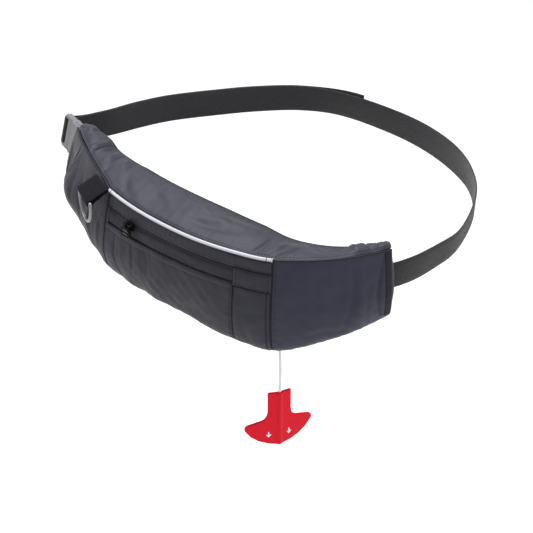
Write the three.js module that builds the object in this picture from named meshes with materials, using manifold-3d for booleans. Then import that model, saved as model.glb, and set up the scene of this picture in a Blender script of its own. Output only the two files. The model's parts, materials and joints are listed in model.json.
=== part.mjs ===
// Inflatable belt pack: a curved zip pouch on a waist belt, with a pull cord and a tab below it.
// Millimetres. +Z is up, the pouch faces -Y and the buckle lies towards -X.
// The origin is the middle of the waist, level with the middle of the belt.

import * as THREE from 'three';
import { mergeVertices } from 'three/addons/utils/BufferGeometryUtils.js';
import Module from 'manifold-3d';

const wasm = await Module();
wasm.setup();

// Waist belt
const WAIST_RADIUS = 162;         // the radius of a round loop of the belt's length
const WEBBING_WIDTH = 25;
const WEBBING_THICK = 1.5;
const LAYER_GAP = 0.4;            // between two layers of webbing
const FOLD_LENGTH = 26;           // the sewn return of the belt at the socket
const TAIL_LENGTH = 294;          // the loose end, from the plug's bar
const TAIL_RISE = 2.6;            // how far the loose end stands above the belt

// Pouch
const FRONT_WIDTH = 156;          // between the two upright front seams, along the belt line
const FRONT_SHIFT = -2;           // the middle of that width from the middle of the body
const POCKET_SHORT = 28;          // the pocket stops this far before the right seam
const LEFT_WING = 109;
const RIGHT_WING = 82;
const POUCH_DEPTH = 45;
const TOP_HEIGHT = 39;            // the front top seam above the belt's middle
const DROP = 50;                  // the bottom edge below the belt's middle
const BULGE = 6;                  // how far the stuffed front stands forward
const CLOTH = 2;
const SEAM_GAP = 0.3;
const BACK_SET = 3.2;             // the outside of the back panel, behind the belt's middle
const GUSSET_CROWN = 3.5;
const UNDERSIDE_SAG = 2;
const END_DOME = 4;

// Front bands, measured down the cloth from the top seam
const BAND_END = 14;
const ZIP_END = 29;
const PATCH_END = 31;
const PATCH_PROUD = 0.9;
const ZIP_SUNK = 0.5;
const ZIP_RUN_IN = 4;             // plain cloth between the left seam and the zip

// Piping
const PIPING_RADIUS = 2;

// Zip slider and its pull
const SLIDER_FROM_SEAM = 30.5;      // from the left seam to the slider's middle
const SLIDER_LENGTH = 9;
const SLIDER_WIDTH = 6.6;
const SLIDER_THICK = 2.4;
const BRIDGE_RADIUS = 0.9;
const BRIDGE_UP = 1.9;            // the bridge's middle, up from the slider's
const EYE_WIRE = 0.75;
const PULL_LENGTH = 11.4;
const PULL_WIDTH = 13.5;
const PULL_WIRE = 1.3;            // radius of the pull's moulded ring
const RUNNING_GAP = 0.35;

// D-ring and its webbing
const RING_WIRE = 1.6;
const RING_DEPTH = 28;            // outside, from bar to bow
const TAPE_REACH = 21.5;
const TAPE_SLOPE = 29;            // degrees below level
const TAPE_FROM_SEAM = 10.1;      // along the belt line, from the left seam to the tape's middle

// Side release buckle
const BUCKLE_TURN = 156.5;        // degrees, the way that the buckle points
const BUCKLE_LEAN = 14;           // degrees, its top edge leans to the body
const STUB = 10;                  // belt between the pouch's end and the socket's bar
const STUB_OUT = 4;               // how far that bit of belt bends out
const BAR_RADIUS = 1.6;
const RAIL = 3.2;
const SOCKET_LENGTH = 29;
const SOCKET_THICK = 9;
const SLOT_LENGTH = 5;
const PLUG_BODY = 8;
const PLUG_THICK = 6.4;
const TONGUE_THICK = 3.4;
const PRONG_REACH = 18;
const SOCKET_WALL = 1.8;
const BUCKLE_GAP = 0.3;

// Pull cord and tab
const CORD_RADIUS = 1.2;
const CORD_HOLE_RADIUS = 2.2;
const CORD_FROM_SEAM = -0.8;      // along the belt line, back from the right seam
const CORD_SETBACK = 27;          // from the belt's middle out to the cord
const TAB_WIDTH = 63.5;
const TAB_HEIGHT = 60.5;
const TAB_STEM_WIDTH = 21.5;
const TAB_STEM_HEIGHT = 25.5;
const TAB_THICK = 2.2;
const TAB_FOLD = 9;               // degrees that each half turns back
const TAB_TURN = 56;              // degrees, the way that the tab's width runs
const TAB_SPINE_RADIUS = 2.6;

const DEGREE = Math.PI / 180;
const UP = new THREE.Vector3(0, 0, 1);

// The belt's middle line seen from above, from behind the pouch's left end, along the pouch,
// out at its right end, round the back and up to the buckle.
// turn: degrees about the waist's middle. reach: share of WAIST_RADIUS.
// lean: degrees that the belt's top edge leans in to the body.
const BELT_ROWS = [
  { turn: 188.0, reach: 1.194, lean: 1 },
  { turn: 193.6, reach: 1.088, lean: 1 },
  { turn: 200.1, reach: 0.986, lean: 1 },
  { turn: 207.6, reach: 0.886, lean: 1 },
  { turn: 216.0, reach: 0.793, lean: 1 },
  { turn: 225.6, reach: 0.712, lean: 1 },
  { turn: 247.1, reach: 0.603, lean: 1 },
  { turn: 273.3, reach: 0.573, lean: 1 },
  { turn: 297.9, reach: 0.632, lean: 1 },
  { turn: 317.6, reach: 0.750, lean: 1 },
  { turn: 331.7, reach: 0.870, lean: 1 },
  { turn: 344.3, reach: 0.981, lean: 1 },
  { turn: 352.4, reach: 1.022, lean: 0 },
  { turn: 362.7, reach: 1.056, lean: -4 },
  { turn: 371.9, reach: 1.094, lean: -8 },
  { turn: 391.4, reach: 1.126, lean: -3 },
  { turn: 404.3, reach: 1.131, lean: -2 },
  { turn: 416.6, reach: 1.111, lean: -10 },
  { turn: 430.0, reach: 1.083, lean: -11 },
  { turn: 444.0, reach: 1.062, lean: -7 },
  { turn: 464.0, reach: 1.073, lean: -2 },
  { turn: 476.4, reach: 1.068, lean: -8 },
  { turn: 490.3, reach: 1.045, lean: -13 },
  { turn: 503.7, reach: 1.048, lean: -16 },
  { turn: 518.9, reach: 1.105, lean: -17 },
  { turn: 528.3, reach: 1.151, lean: -18 },
  { turn: 536.8, reach: 1.205, lean: -12 },
];
const MIDDLE_TURN = 275;          // where the middle of the pouch's front lies

// The pouch's cross sections, from its left end to its right end.
// at: along the belt from the front's middle. lean: degrees, top towards the body.
// The other columns are shares: depth of POUCH_DEPTH, front and back of TOP_HEIGHT,
// drop of DROP, bulge of BULGE.
const LEFT_SEAM = FRONT_SHIFT - FRONT_WIDTH / 2;
const RIGHT_SEAM = FRONT_SHIFT + FRONT_WIDTH / 2;
const POCKET_EDGE = RIGHT_SEAM - POCKET_SHORT;
const LEFT_END = LEFT_SEAM - LEFT_WING;
const RIGHT_END = RIGHT_SEAM + RIGHT_WING;
const SECTION_ROWS = [
  { at: LEFT_END, depth: 0.31, front: 0.83, back: 0.76, drop: 0.60, bulge: 1.8, lean: 1 },
  { at: LEFT_SEAM - 0.67 * LEFT_WING, depth: 0.53, front: 0.91, back: 0.93, drop: 0.72, bulge: 2.3, lean: 6 },
  { at: LEFT_SEAM - LEFT_WING / 2, depth: 0.64, front: 0.95, back: 0.87, drop: 0.77, bulge: 2.4, lean: 7 },
  { at: LEFT_SEAM - 0.14 * LEFT_WING, depth: 0.815, front: 0.985, back: 1.00, drop: 0.90, bulge: 1.8, lean: 3.5 },
  { at: LEFT_SEAM, depth: 0.91, front: 0.96, back: 1.06, drop: 0.97, bulge: 1.5, lean: 2 },
  { at: 0, depth: 1.00, front: 0.98, back: 1.09, drop: 1.01, bulge: 1.0, lean: 0 },
  { at: POCKET_EDGE, depth: 0.99, front: 0.98, back: 0.97, drop: 1.16, bulge: 1.1, lean: 0 },
  { at: RIGHT_SEAM, depth: 0.94, front: 0.98, back: 0.80, drop: 1.20, bulge: 1.0, lean: 0 },
  { at: RIGHT_SEAM + RIGHT_WING / 2, depth: 0.63, front: 0.98, back: 0.77, drop: 0.94, bulge: 1.0, lean: 0 },
  { at: RIGHT_END, depth: 0.27, front: 0.88, back: 0.86, drop: 0.66, bulge: 0.8, lean: 2 },
];

// Dents, folds and puffs of the cover. face: which face. at: along the belt from the front's
// middle, as a share of the way to that end. down: share of the way across the face.
// wide, tall: half sizes, as shares of LEFT_WING and of the face. push: out, as a share of BULGE.
const FOLD_ROWS = [
  { face: 'top', at: -0.90, down: 0.45, wide: 0.10, tall: 0.40, push: 0.80 },
  { face: 'top', at: -0.76, down: 0.40, wide: 0.06, tall: 0.45, push: -0.60 },
  { face: 'top', at: -0.50, down: 0.30, wide: 0.12, tall: 0.30, push: 0.30 },
  { face: 'top', at: -0.20, down: 0.55, wide: 0.16, tall: 0.25, push: -0.28 },
  { face: 'top', at: 0.18, down: 0.45, wide: 0.14, tall: 0.28, push: -0.34 },
  { face: 'top', at: 0.66, down: 0.40, wide: 0.10, tall: 0.35, push: -0.40 },
  { face: 'top', at: 0.86, down: 0.40, wide: 0.09, tall: 0.40, push: 0.50 },
  { face: 'front', at: -0.87, down: 0.30, wide: 0.07, tall: 0.22, push: -0.45 },
  { face: 'front', at: -0.74, down: 0.40, wide: 0.14, tall: 0.20, push: 0.85 },
  { face: 'front', at: -0.66, down: 0.80, wide: 0.16, tall: 0.22, push: -0.60 },
  { face: 'front', at: 0.05, down: 0.72, wide: 0.20, tall: 0.20, push: -0.25 },
  { face: 'front', at: 0.74, down: 0.62, wide: 0.08, tall: 0.40, push: -0.40 },
  { face: 'front', at: 0.86, down: 0.72, wide: 0.07, tall: 0.30, push: 0.40 },
];

// The cord's route below the cover, chosen by hand: across and out are small sways,
// down is measured from the mouth of the cord's hole.
const CORD_ROUTE = [
  { across: 0.00, out: 0.00, down: -1.5 },
  { across: 0.00, out: 0.00, down: 1.8 },
  { across: 0.04, out: 0.00, down: 5.1 },
  { across: 0.10, out: 0.00, down: 8.4 },
  { across: 0.18, out: 0.02, down: 11.6 },
  { across: 0.26, out: 0.04, down: 14.9 },
  { across: 0.32, out: 0.06, down: 18.2 },
  { across: 0.36, out: 0.08, down: 21.5 },
  { across: 0.38, out: 0.08, down: 24.8 },
  { across: 0.36, out: 0.08, down: 28.1 },
  { across: 0.32, out: 0.06, down: 31.4 },
  { across: 0.26, out: 0.04, down: 34.7 },
  { across: 0.18, out: 0.02, down: 37.9 },
  { across: 0.10, out: 0.00, down: 41.2 },
  { across: 0.04, out: 0.00, down: 44.5 },
  { across: 0.00, out: 0.00, down: 47.8 },
];

// Finishes: colour, roughness, metalness
const FINISH = {
  frontCloth: [0x3c3c40, 0.75, 0],
  wingCloth: [0x3a3846, 0.75, 0],
  gussetCloth: [0x5e5e67, 0.7, 0],
  backCloth: [0x2c2c30, 0.85, 0],
  bladder: [0x202226, 0.6, 0],
  webbing: [0x2e2e30, 0.85, 0],
  reflective: [0xdfdfe8, 0.35, 0.2],
  nylon: [0x1c1c1e, 0.45, 0],
  buckle: [0x6e6e70, 0.4, 0],
  steel: [0xa6a6a8, 0.3, 0.9],
  cord: [0xf0f0f0, 0.7, 0],
  tab: [0xdc1e38, 0.4, 0],
};

const pack = new THREE.Group();

function add(name, geometry, finish) {
  const [color, roughness, metalness] = FINISH[finish];
  geometry.computeVertexNormals();
  const mesh = new THREE.Mesh(geometry, new THREE.MeshStandardMaterial({ color, roughness, metalness }));
  mesh.name = name;
  pack.add(mesh);
  return mesh;
}

// Tables

// A column's value at a place, on a smooth curve through the rows.
function smoothColumn(rows, key, at) {
  let i = 0;
  while (i < rows.length - 2 && rows[i + 1].at < at) i += 1;
  const slope = (j) => {
    const before = rows[Math.max(j - 1, 0)];
    const after = rows[Math.min(j + 1, rows.length - 1)];
    return (after[key] - before[key]) / (after.at - before.at);
  };
  const span = rows[i + 1].at - rows[i].at;
  const t = THREE.MathUtils.clamp((at - rows[i].at) / span, 0, 1);
  const t2 = t * t;
  const t3 = t2 * t;
  return (2 * t3 - 3 * t2 + 1) * rows[i][key] + (t3 - 2 * t2 + t) * span * slope(i)
    + (3 * t2 - 2 * t3) * rows[i + 1][key] + (t3 - t2) * span * slope(i + 1);
}

// The buckle's own axes: along points from the pouch to the strap, out points away from the
// body and across runs up its width.
const along = new THREE.Vector3(Math.cos(BUCKLE_TURN * DEGREE), Math.sin(BUCKLE_TURN * DEGREE), 0);
const levelOut = new THREE.Vector3().crossVectors(UP, along);
const across = UP.clone().multiplyScalar(Math.cos(BUCKLE_LEAN * DEGREE))
  .addScaledVector(levelOut, -Math.sin(BUCKLE_LEAN * DEGREE));
const out = new THREE.Vector3().crossVectors(across, along);

const WRAP_RADIUS = BAR_RADIUS + LAYER_GAP / 2 + WEBBING_THICK / 2;
const LAYER = WEBBING_THICK + LAYER_GAP;
const PLUG_START = SOCKET_LENGTH + BUCKLE_GAP;
const PLUG_BAR = PLUG_START + PLUG_BODY + SLOT_LENGTH + BAR_RADIUS;

// The belt's middle line as a fine polyline with its length, its zero at the pouch's middle.
function traceLine(points) {
  const fine = new THREE.CatmullRomCurve3(points, false, 'centripetal').getPoints((points.length - 1) * 24);
  const length = [0];
  for (let i = 1; i < fine.length; i += 1) length.push(length[i - 1] + fine[i].distanceTo(fine[i - 1]));
  let zero = 0;
  let nearest = Infinity;
  fine.forEach((p, i) => {
    const turn = Math.atan2(p.y, p.x) / DEGREE;
    const away = Math.abs(((turn - MIDDLE_TURN + 540) % 360) - 180);
    if (away < nearest) {
      nearest = away;
      zero = length[i];
    }
  });
  return { fine, places: length.map((value) => value - zero) };
}

function pointOn(line, at) {
  const { fine, places } = line;
  let i = 0;
  while (i < places.length - 2 && places[i + 1] < at) i += 1;
  const t = (at - places[i]) / (places[i + 1] - places[i]);
  const tangentAt = (j) => fine[Math.min(j + 1, fine.length - 1)].clone().sub(fine[Math.max(j - 1, 0)]).normalize();
  const tangent = tangentAt(i).lerp(tangentAt(i + 1), t).normalize();
  const outward = new THREE.Vector3(tangent.y, -tangent.x, 0).normalize();
  return { point: fine[i].clone().lerp(fine[i + 1], t), tangent, outward };
}

const beltPoints = BELT_ROWS.map(({ turn, reach }) => new THREE.Vector3(
  reach * WAIST_RADIUS * Math.cos(turn * DEGREE), reach * WAIST_RADIUS * Math.sin(turn * DEGREE), 0));
const firstLine = traceLine(beltPoints);
const socketSeat = pointOn(firstLine, LEFT_END - STUB);
const socketBar = socketSeat.point.clone().addScaledVector(socketSeat.outward, STUB_OUT);

function onBuckle(x, y, z) {
  return socketBar.clone().addScaledVector(along, x).addScaledVector(out, y).addScaledVector(across, z);
}

const STRAP_RISE = 9;             // straight webbing before it turns round the plug's bar
const beltLine = traceLine([...beltPoints,
  onBuckle(PLUG_BAR - WRAP_RADIUS, -STRAP_RISE, 0), onBuckle(PLUG_BAR - WRAP_RADIUS, -0.5, 0)]);
const BELT_END = beltLine.places[beltLine.places.length - 1];

const leanRows = BELT_ROWS.map((row, i) => ({ at: beltLine.places[i * 24], lean: row.lean }));

function sectionAt(at) {
  const pick = (key) => smoothColumn(SECTION_ROWS, key, at);
  return {
    depth: POUCH_DEPTH * pick('depth'),
    front: TOP_HEIGHT * pick('front'),
    back: TOP_HEIGHT * pick('back'),
    bottom: -DROP * pick('drop'),
    bulge: BULGE * pick('bulge'),
    lean: pick('lean') * DEGREE,
  };
}

// A face's outline in a section, as points (out from the belt, up), from its first edge to its last.
function faceOutline(face, s) {
  const mix = (share) => THREE.MathUtils.lerp(s.front, s.bottom, share);
  const lowFront = 0.8 * s.depth;
  const rows = {
    top: [[-BACK_SET, s.back], [0.18 * s.depth, s.back + 0.12 * (s.front - s.back) + GUSSET_CROWN * 0.8],
      [0.55 * s.depth, 0.45 * s.back + 0.55 * s.front + GUSSET_CROWN], [s.depth, s.front]],
    front: [[s.depth, s.front], [s.depth + 0.7 * s.bulge, mix(0.34)], [s.depth + s.bulge, mix(0.65)],
      [s.depth + 0.4 * s.bulge, mix(0.9)], [lowFront, s.bottom]],
    under: [[lowFront, s.bottom], [0.4 * s.depth, s.bottom - UNDERSIDE_SAG], [-BACK_SET, s.bottom + 2]],
    back: [[-BACK_SET, s.bottom + 2], [-BACK_SET, s.back]],
  }[face];
  const curve = new THREE.SplineCurve(rows.map(([n, z]) => new THREE.Vector2(n, z)));
  const points = rows.length > 2 ? curve.getPoints(28) : curve.points;
  const length = [0];
  for (let i = 1; i < points.length; i += 1) length.push(length[i - 1] + points[i].distanceTo(points[i - 1]));
  return { points, length };
}

const outlineCache = new Map();
function outlineAt(face, at) {
  const key = `${face} ${at.toFixed(4)}`;
  if (!outlineCache.has(key)) outlineCache.set(key, faceOutline(face, sectionAt(at)));
  return outlineCache.get(key);
}

function faceLength(face, at) {
  const { length } = outlineAt(face, at);
  return length[length.length - 1];
}

// From a section's own plane to the pouch: n out from the belt, z up, turned by the section's lean.
function place(at, n, z) {
  const { point, outward } = pointOn(firstLine, at);
  const { lean } = sectionAt(at);
  const turnedOut = n * Math.cos(lean) - z * Math.sin(lean);
  const turnedUp = n * Math.sin(lean) + z * Math.cos(lean);
  return point.addScaledVector(outward, turnedOut).addScaledVector(UP, turnedUp);
}

// A point of a face without its folds, down being millimetres from the face's first edge.
function plainPoint(face, at, down) {
  const { points, length } = outlineAt(face, at);
  let i = 0;
  while (i < length.length - 2 && length[i + 1] < down) i += 1;
  const t = (down - length[i]) / (length[i + 1] - length[i]);
  const p = points[i].clone().lerp(points[i + 1], t);
  return place(at, p.x, p.y);
}

function plainNormal(face, at, down) {
  const step = 1;
  const whole = faceLength(face, at);
  const low = Math.max(down - step, 0);
  const high = Math.min(down + step, whole);
  const alongFace = plainPoint(face, at + step, down).sub(plainPoint(face, at - step, down));
  const acrossFace = plainPoint(face, at, high).sub(plainPoint(face, at, low));
  return alongFace.cross(acrossFace).normalize().negate();
}

function foldPush(face, at, down) {
  const share = down / faceLength(face, at);
  return FOLD_ROWS.filter((row) => row.face === face).reduce((sum, row) => {
    const end = row.at < 0 ? -LEFT_END : RIGHT_END;
    const a = (at - row.at * end) / (row.wide * LEFT_WING);
    const b = (share - row.down) / row.tall;
    return sum + row.push * BULGE * Math.exp(-a * a - b * b);
  }, 0) * Math.sin(Math.PI * THREE.MathUtils.clamp(share, 0, 1));
}

// The cover's outside, moved in by inset along its own normal.
function skin(face, at, down, inset) {
  const normal = plainNormal(face, at, down);
  return plainPoint(face, at, down).addScaledVector(normal, foldPush(face, at, down) - inset);
}

// Closed bodies from points

function bodyFrom(points, faces) {
  const geometry = new THREE.BufferGeometry();
  geometry.setAttribute('position', new THREE.Float32BufferAttribute(points.flatMap((p) => p.toArray()), 3));
  let volume = 0;
  faces.forEach(([a, b, c]) => {
    volume += points[a].dot(new THREE.Vector3().crossVectors(points[b], points[c]));
  });
  const turned = volume < 0 ? faces.map(([a, b, c]) => [a, c, b]) : faces;
  geometry.setIndex(turned.flat());
  return geometry;
}

// A wall between an outer and an inner grid of points of the same size.
function wallBetween(outer, inner) {
  const rows = outer.length;
  const columns = outer[0].length;
  const points = [...outer.flat(), ...inner.flat()];
  const far = rows * columns;
  const index = (i, j) => i * columns + j;
  const faces = [];
  const quad = (a, b, c, d) => faces.push([a, b, c], [a, c, d]);
  for (let i = 0; i < rows - 1; i += 1) {
    for (let j = 0; j < columns - 1; j += 1) {
      const [a, b, c, d] = [index(i, j), index(i + 1, j), index(i + 1, j + 1), index(i, j + 1)];
      quad(a, b, c, d);
      quad(far + a, far + d, far + c, far + b);
    }
  }
  const rim = [];
  for (let i = 0; i < rows - 1; i += 1) rim.push(index(i, 0));
  for (let j = 0; j < columns - 1; j += 1) rim.push(index(rows - 1, j));
  for (let i = rows - 1; i > 0; i -= 1) rim.push(index(i, columns - 1));
  for (let j = columns - 1; j > 0; j -= 1) rim.push(index(0, j));
  rim.forEach((a, k) => {
    const b = rim[(k + 1) % rim.length];
    quad(b, a, far + a, far + b);
  });
  return bodyFrom(points, faces);
}

// A body through rings of points; closed joins the last ring to the first.
function bodyThrough(rings, closed = false) {
  const around = rings[0].length;
  const points = rings.flat();
  const faces = [];
  const last = closed ? rings.length : rings.length - 1;
  for (let i = 0; i < last; i += 1) {
    const next = (i + 1) % rings.length;
    for (let j = 0; j < around; j += 1) {
      const k = (j + 1) % around;
      const [a, b, c, d] = [i * around + j, next * around + j, next * around + k, i * around + k];
      faces.push([a, b, c], [a, c, d]);
    }
  }
  if (!closed) {
    const end = (rings.length - 1) * around;
    for (let j = 1; j < around - 1; j += 1) {
      faces.push([0, j, j + 1]);
      faces.push([end, end + j + 1, end + j]);
    }
  }
  return bodyFrom(points, faces);
}

// A flat band of webbing; each station has its point and the way its width runs.
function ribbon(stations, width, thick) {
  const rings = stations.map(({ point, wide }, i) => {
    const before = stations[Math.max(i - 1, 0)].point;
    const after = stations[Math.min(i + 1, stations.length - 1)].point;
    const tangent = after.clone().sub(before).normalize();
    const side = wide.clone().addScaledVector(tangent, -wide.dot(tangent)).normalize();
    const face = new THREE.Vector3().crossVectors(side, tangent);
    return [[1, 1], [1, -1], [-1, -1], [-1, 1]].map(([a, b]) => point.clone()
      .addScaledVector(side, a * width / 2).addScaledVector(face, b * thick / 2));
  });
  return bodyThrough(rings);
}

// A round wire through points that lie in one plane, whose normal is given.
function wire(points, planeNormal, radius, sides, closed) {
  const rings = points.map((point, i) => {
    const before = points[closed ? (i + points.length - 1) % points.length : Math.max(i - 1, 0)];
    const after = points[closed ? (i + 1) % points.length : Math.min(i + 1, points.length - 1)];
    const tangent = after.clone().sub(before).normalize();
    const side = new THREE.Vector3().crossVectors(planeNormal, tangent).normalize();
    return Array.from({ length: sides }, (_, k) => {
      const angle = 2 * Math.PI * (k + 0.5) / sides;
      return point.clone().addScaledVector(side, radius * Math.cos(angle))
        .addScaledVector(planeNormal, radius * Math.sin(angle));
    });
  });
  return bodyThrough(rings, closed);
}

// Steps from one value to another, both included.
function steps(from, to, count) {
  return Array.from({ length: count + 1 }, (_, i) => from + (to - from) * i / count);
}

// Solids for joins and cuts

function toSolid(geometry) {
  const bare = geometry.index ? geometry.toNonIndexed() : geometry.clone();
  bare.deleteAttribute('normal');
  bare.deleteAttribute('uv');
  const merged = mergeVertices(bare, 1e-4);
  return new wasm.Manifold(new wasm.Mesh({
    numProp: 3,
    vertProperties: new Float32Array(merged.attributes.position.array),
    triVerts: new Uint32Array(merged.index.array),
  }));
}

function toGeometry(solid) {
  const mesh = solid.getMesh();
  const geometry = new THREE.BufferGeometry();
  geometry.setAttribute('position', new THREE.BufferAttribute(new Float32Array(mesh.vertProperties), 3));
  geometry.setIndex(Array.from(mesh.triVerts));
  return geometry;
}

function join(...geometries) {
  return toGeometry(geometries.map(toSolid).reduce((whole, solid) => whole.add(solid)));
}

function cut(geometry, ...tools) {
  return toGeometry(tools.map(toSolid).reduce((whole, tool) => whole.subtract(tool), toSolid(geometry)));
}

// Cover panels

// A panel of the cover between two places along the belt and two edges across one face.
// from and to give an edge in millimetres from the face's first edge.
function panel(name, face, range, from, to, columns, rows, finish, options = {}) {
  const { proud = 0, wall = CLOTH } = options;
  const grid = (inset) => steps(range[0], range[1], columns).map((at) => {
    const first = from(at);
    const last = to(at);
    return steps(first, last, rows).map((down) => skin(face, at, down, inset));
  });
  return add(name, wallBetween(grid(-proud), grid(wall - proud)), finish);
}

const fixed = (value) => () => value;
const whole = (face, setback) => (at) => faceLength(face, at) - setback;
const SETBACK = CLOTH + SEAM_GAP;
const PIPING_SETBACK = PIPING_RADIUS + SEAM_GAP;
const HALF_GAP = SEAM_GAP / 2;
const UNDER_SETBACK = 1.9;
const FRONT_RANGE = [LEFT_SEAM + HALF_GAP, RIGHT_SEAM - HALF_GAP];
const GUSSET_COLUMNS = 40;

panel('upper_band', 'front', FRONT_RANGE, fixed(PIPING_SETBACK), fixed(BAND_END - HALF_GAP), 16, 2, 'frontCloth');
panel('zipper', 'front', [LEFT_SEAM + ZIP_RUN_IN, POCKET_EDGE - HALF_GAP],
  fixed(BAND_END + HALF_GAP), fixed(ZIP_END - HALF_GAP), 12, 2, 'frontCloth', { proud: -ZIP_SUNK, wall: CLOTH - ZIP_SUNK });
panel('zip_run_in', 'front', [LEFT_SEAM + HALF_GAP, LEFT_SEAM + ZIP_RUN_IN - SEAM_GAP],
  fixed(BAND_END + HALF_GAP), fixed(ZIP_END - HALF_GAP), 1, 2, 'frontCloth');
panel('zip_end_patch', 'front', [POCKET_EDGE + HALF_GAP, RIGHT_SEAM - HALF_GAP],
  fixed(BAND_END + HALF_GAP), fixed(PATCH_END - HALF_GAP), 4, 2, 'frontCloth',
  { proud: PATCH_PROUD, wall: CLOTH + PATCH_PROUD });
panel('pocket_panel', 'front', [LEFT_SEAM + HALF_GAP, POCKET_EDGE - HALF_GAP],
  fixed(ZIP_END + HALF_GAP), whole('front', 0), 14, 7, 'frontCloth');
panel('side_panel', 'front', [POCKET_EDGE + HALF_GAP, RIGHT_SEAM - HALF_GAP],
  fixed(PATCH_END + HALF_GAP), whole('front', 0), 4, 7, 'frontCloth');
panel('left_wing', 'front', [LEFT_END, LEFT_SEAM - HALF_GAP], fixed(0), whole('front', 0), 16, 8, 'wingCloth');
panel('right_wing', 'front', [RIGHT_SEAM + HALF_GAP, RIGHT_END], fixed(0), whole('front', 0), 9, 9, 'wingCloth');
panel('top_gusset', 'top', [LEFT_END, RIGHT_END], fixed(SETBACK), whole('top', SETBACK),
  GUSSET_COLUMNS, 5, 'gussetCloth');
panel('back_panel', 'back', [LEFT_END, RIGHT_END], fixed(0), whole('back', 0), GUSSET_COLUMNS, 1, 'backCloth');

const cordAt = RIGHT_SEAM - CORD_FROM_SEAM;
const cordMouth = place(cordAt, CORD_SETBACK, sectionAt(cordAt).bottom - UNDERSIDE_SAG);
const underside = panel('underside', 'under', [LEFT_END, RIGHT_END],
  fixed(UNDER_SETBACK), whole('under', SETBACK), 30, 3, 'gussetCloth');
const holeTool = new THREE.CylinderGeometry(CORD_HOLE_RADIUS, CORD_HOLE_RADIUS, 12 * CLOTH, 12);
holeTool.rotateX(Math.PI / 2);
holeTool.translate(cordMouth.x, cordMouth.y, cordMouth.z);
underside.geometry = cut(underside.geometry, holeTool);
underside.geometry.computeVertexNormals();

// End panels close the cover in front of the belt and bow out.
function endPanel(name, at, sign, innerEdge) {
  const frontInside = (down, inset) => {
    const p = skin('front', at, down, inset);
    const { point, outward } = pointOn(firstLine, at);
    const { lean } = sectionAt(at);
    const rel = p.sub(point);
    const n = rel.dot(outward);
    return [n * Math.cos(lean) + rel.z * Math.sin(lean), -n * Math.sin(lean) + rel.z * Math.cos(lean)];
  };
  const length = faceLength('front', at);
  const grid = (setIn) => steps(0.07, 0.9, 8).map((share) => {
    const [outerN, z] = frontInside(share * length, CLOTH + SEAM_GAP);
    return steps(0, 1, 3).map((u) => {
      const n = THREE.MathUtils.lerp(innerEdge, outerN, u);
      const dome = END_DOME * Math.sin(Math.PI * u) * Math.sin(Math.PI * share);
      const { tangent } = pointOn(firstLine, at);
      return place(at, n, z).addScaledVector(tangent, sign * (dome - setIn));
    });
  });
  add(name, wallBetween(grid(0), grid(CLOTH)), 'backCloth');
}
endPanel('left_end_panel', LEFT_END, -1, LAYER + WEBBING_THICK / 2 + SEAM_GAP);
endPanel('right_end_panel', RIGHT_END, 1, WEBBING_THICK / 2 + SEAM_GAP);

// Folded bladder, a plain rolled body that follows the cover's inside.
const BLADDER_INSET = CLOTH + 1.1;
const BLADDER_BACK = LAYER + WEBBING_THICK / 2 + 0.5;
function bladderRing(at) {
  const front = steps(0, 1, 7).map((t) => {
    const length = faceLength('front', at);
    return skin('front', at, THREE.MathUtils.lerp(5.5, length - 6.5, t), BLADDER_INSET);
  });
  const under = steps(0, 1, 2).map((t) => {
    const length = faceLength('under', at);
    return skin('under', at, THREE.MathUtils.lerp(7, length - 8, t), BLADDER_INSET);
  });
  const top = steps(0, 1, 4).map((t) => {
    const length = faceLength('top', at);
    return skin('top', at, THREE.MathUtils.lerp(8, length - 6.5, t), BLADDER_INSET);
  });
  return [...front, ...under, ...top];
}
add('folded_bladder', bodyThrough(steps(LEFT_END, RIGHT_END, GUSSET_COLUMNS).slice(1, -1).map(bladderRing)), 'bladder');

// Reflective piping in the top front seam, between the two upright seams.
const pipingRings = steps(FRONT_RANGE[0], FRONT_RANGE[1], 24).map((at) => {
  const { point, tangent, outward } = pointOn(firstLine, at);
  const s = sectionAt(at);
  const centre = place(at, s.depth, s.front);
  const side = outward.clone().addScaledVector(tangent, -outward.dot(tangent)).normalize();
  return Array.from({ length: 8 }, (_, k) => {
    const angle = 2 * Math.PI * (k + 0.5) / 8;
    return centre.clone().addScaledVector(side, PIPING_RADIUS * Math.cos(angle))
      .addScaledVector(UP, PIPING_RADIUS * Math.sin(angle));
  });
});
add('piping', bodyThrough(pipingRings), 'reflective');

// Belt webbing: the sewn return, round the socket's bar, behind the bladder, out of the right
// end, round the back, through the plug and back as the loose tail.
function beltStation(at, offset, rise = 0) {
  const { point, tangent, outward } = pointOn(beltLine, at);
  const inPouch = at >= LEFT_END && at <= RIGHT_END;
  const lean = inPouch ? sectionAt(at).lean : smoothColumn(leanRows, 'lean', at) * DEGREE;
  const wide = UP.clone().multiplyScalar(Math.cos(lean)).addScaledVector(outward, -Math.sin(lean));
  const nearBuckle = Math.max(
    THREE.MathUtils.smoothstep(at, BELT_END - 45, BELT_END),
    1 - THREE.MathUtils.smoothstep(at, LEFT_END - STUB, LEFT_END));
  wide.lerp(across, nearBuckle).normalize();
  wide.addScaledVector(tangent, -wide.dot(tangent)).normalize();
  const thickWay = new THREE.Vector3().crossVectors(tangent, wide).normalize();
  return { point: point.addScaledVector(thickWay, offset).addScaledVector(wide, rise), wide };
}

function wrap(barX, fromAngle, toAngle, count) {
  return steps(fromAngle, toAngle, count).map((angle) => ({
    point: onBuckle(barX + WRAP_RADIUS * Math.cos(angle * DEGREE), WRAP_RADIUS * Math.sin(angle * DEGREE), 0),
    wide: across.clone(),
  }));
}

// A straight bit of webbing next to the socket's bar, on the side given.
const barStation = (side) => ({ point: onBuckle(-3, side * WRAP_RADIUS, 0), wide: across.clone() });

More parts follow.
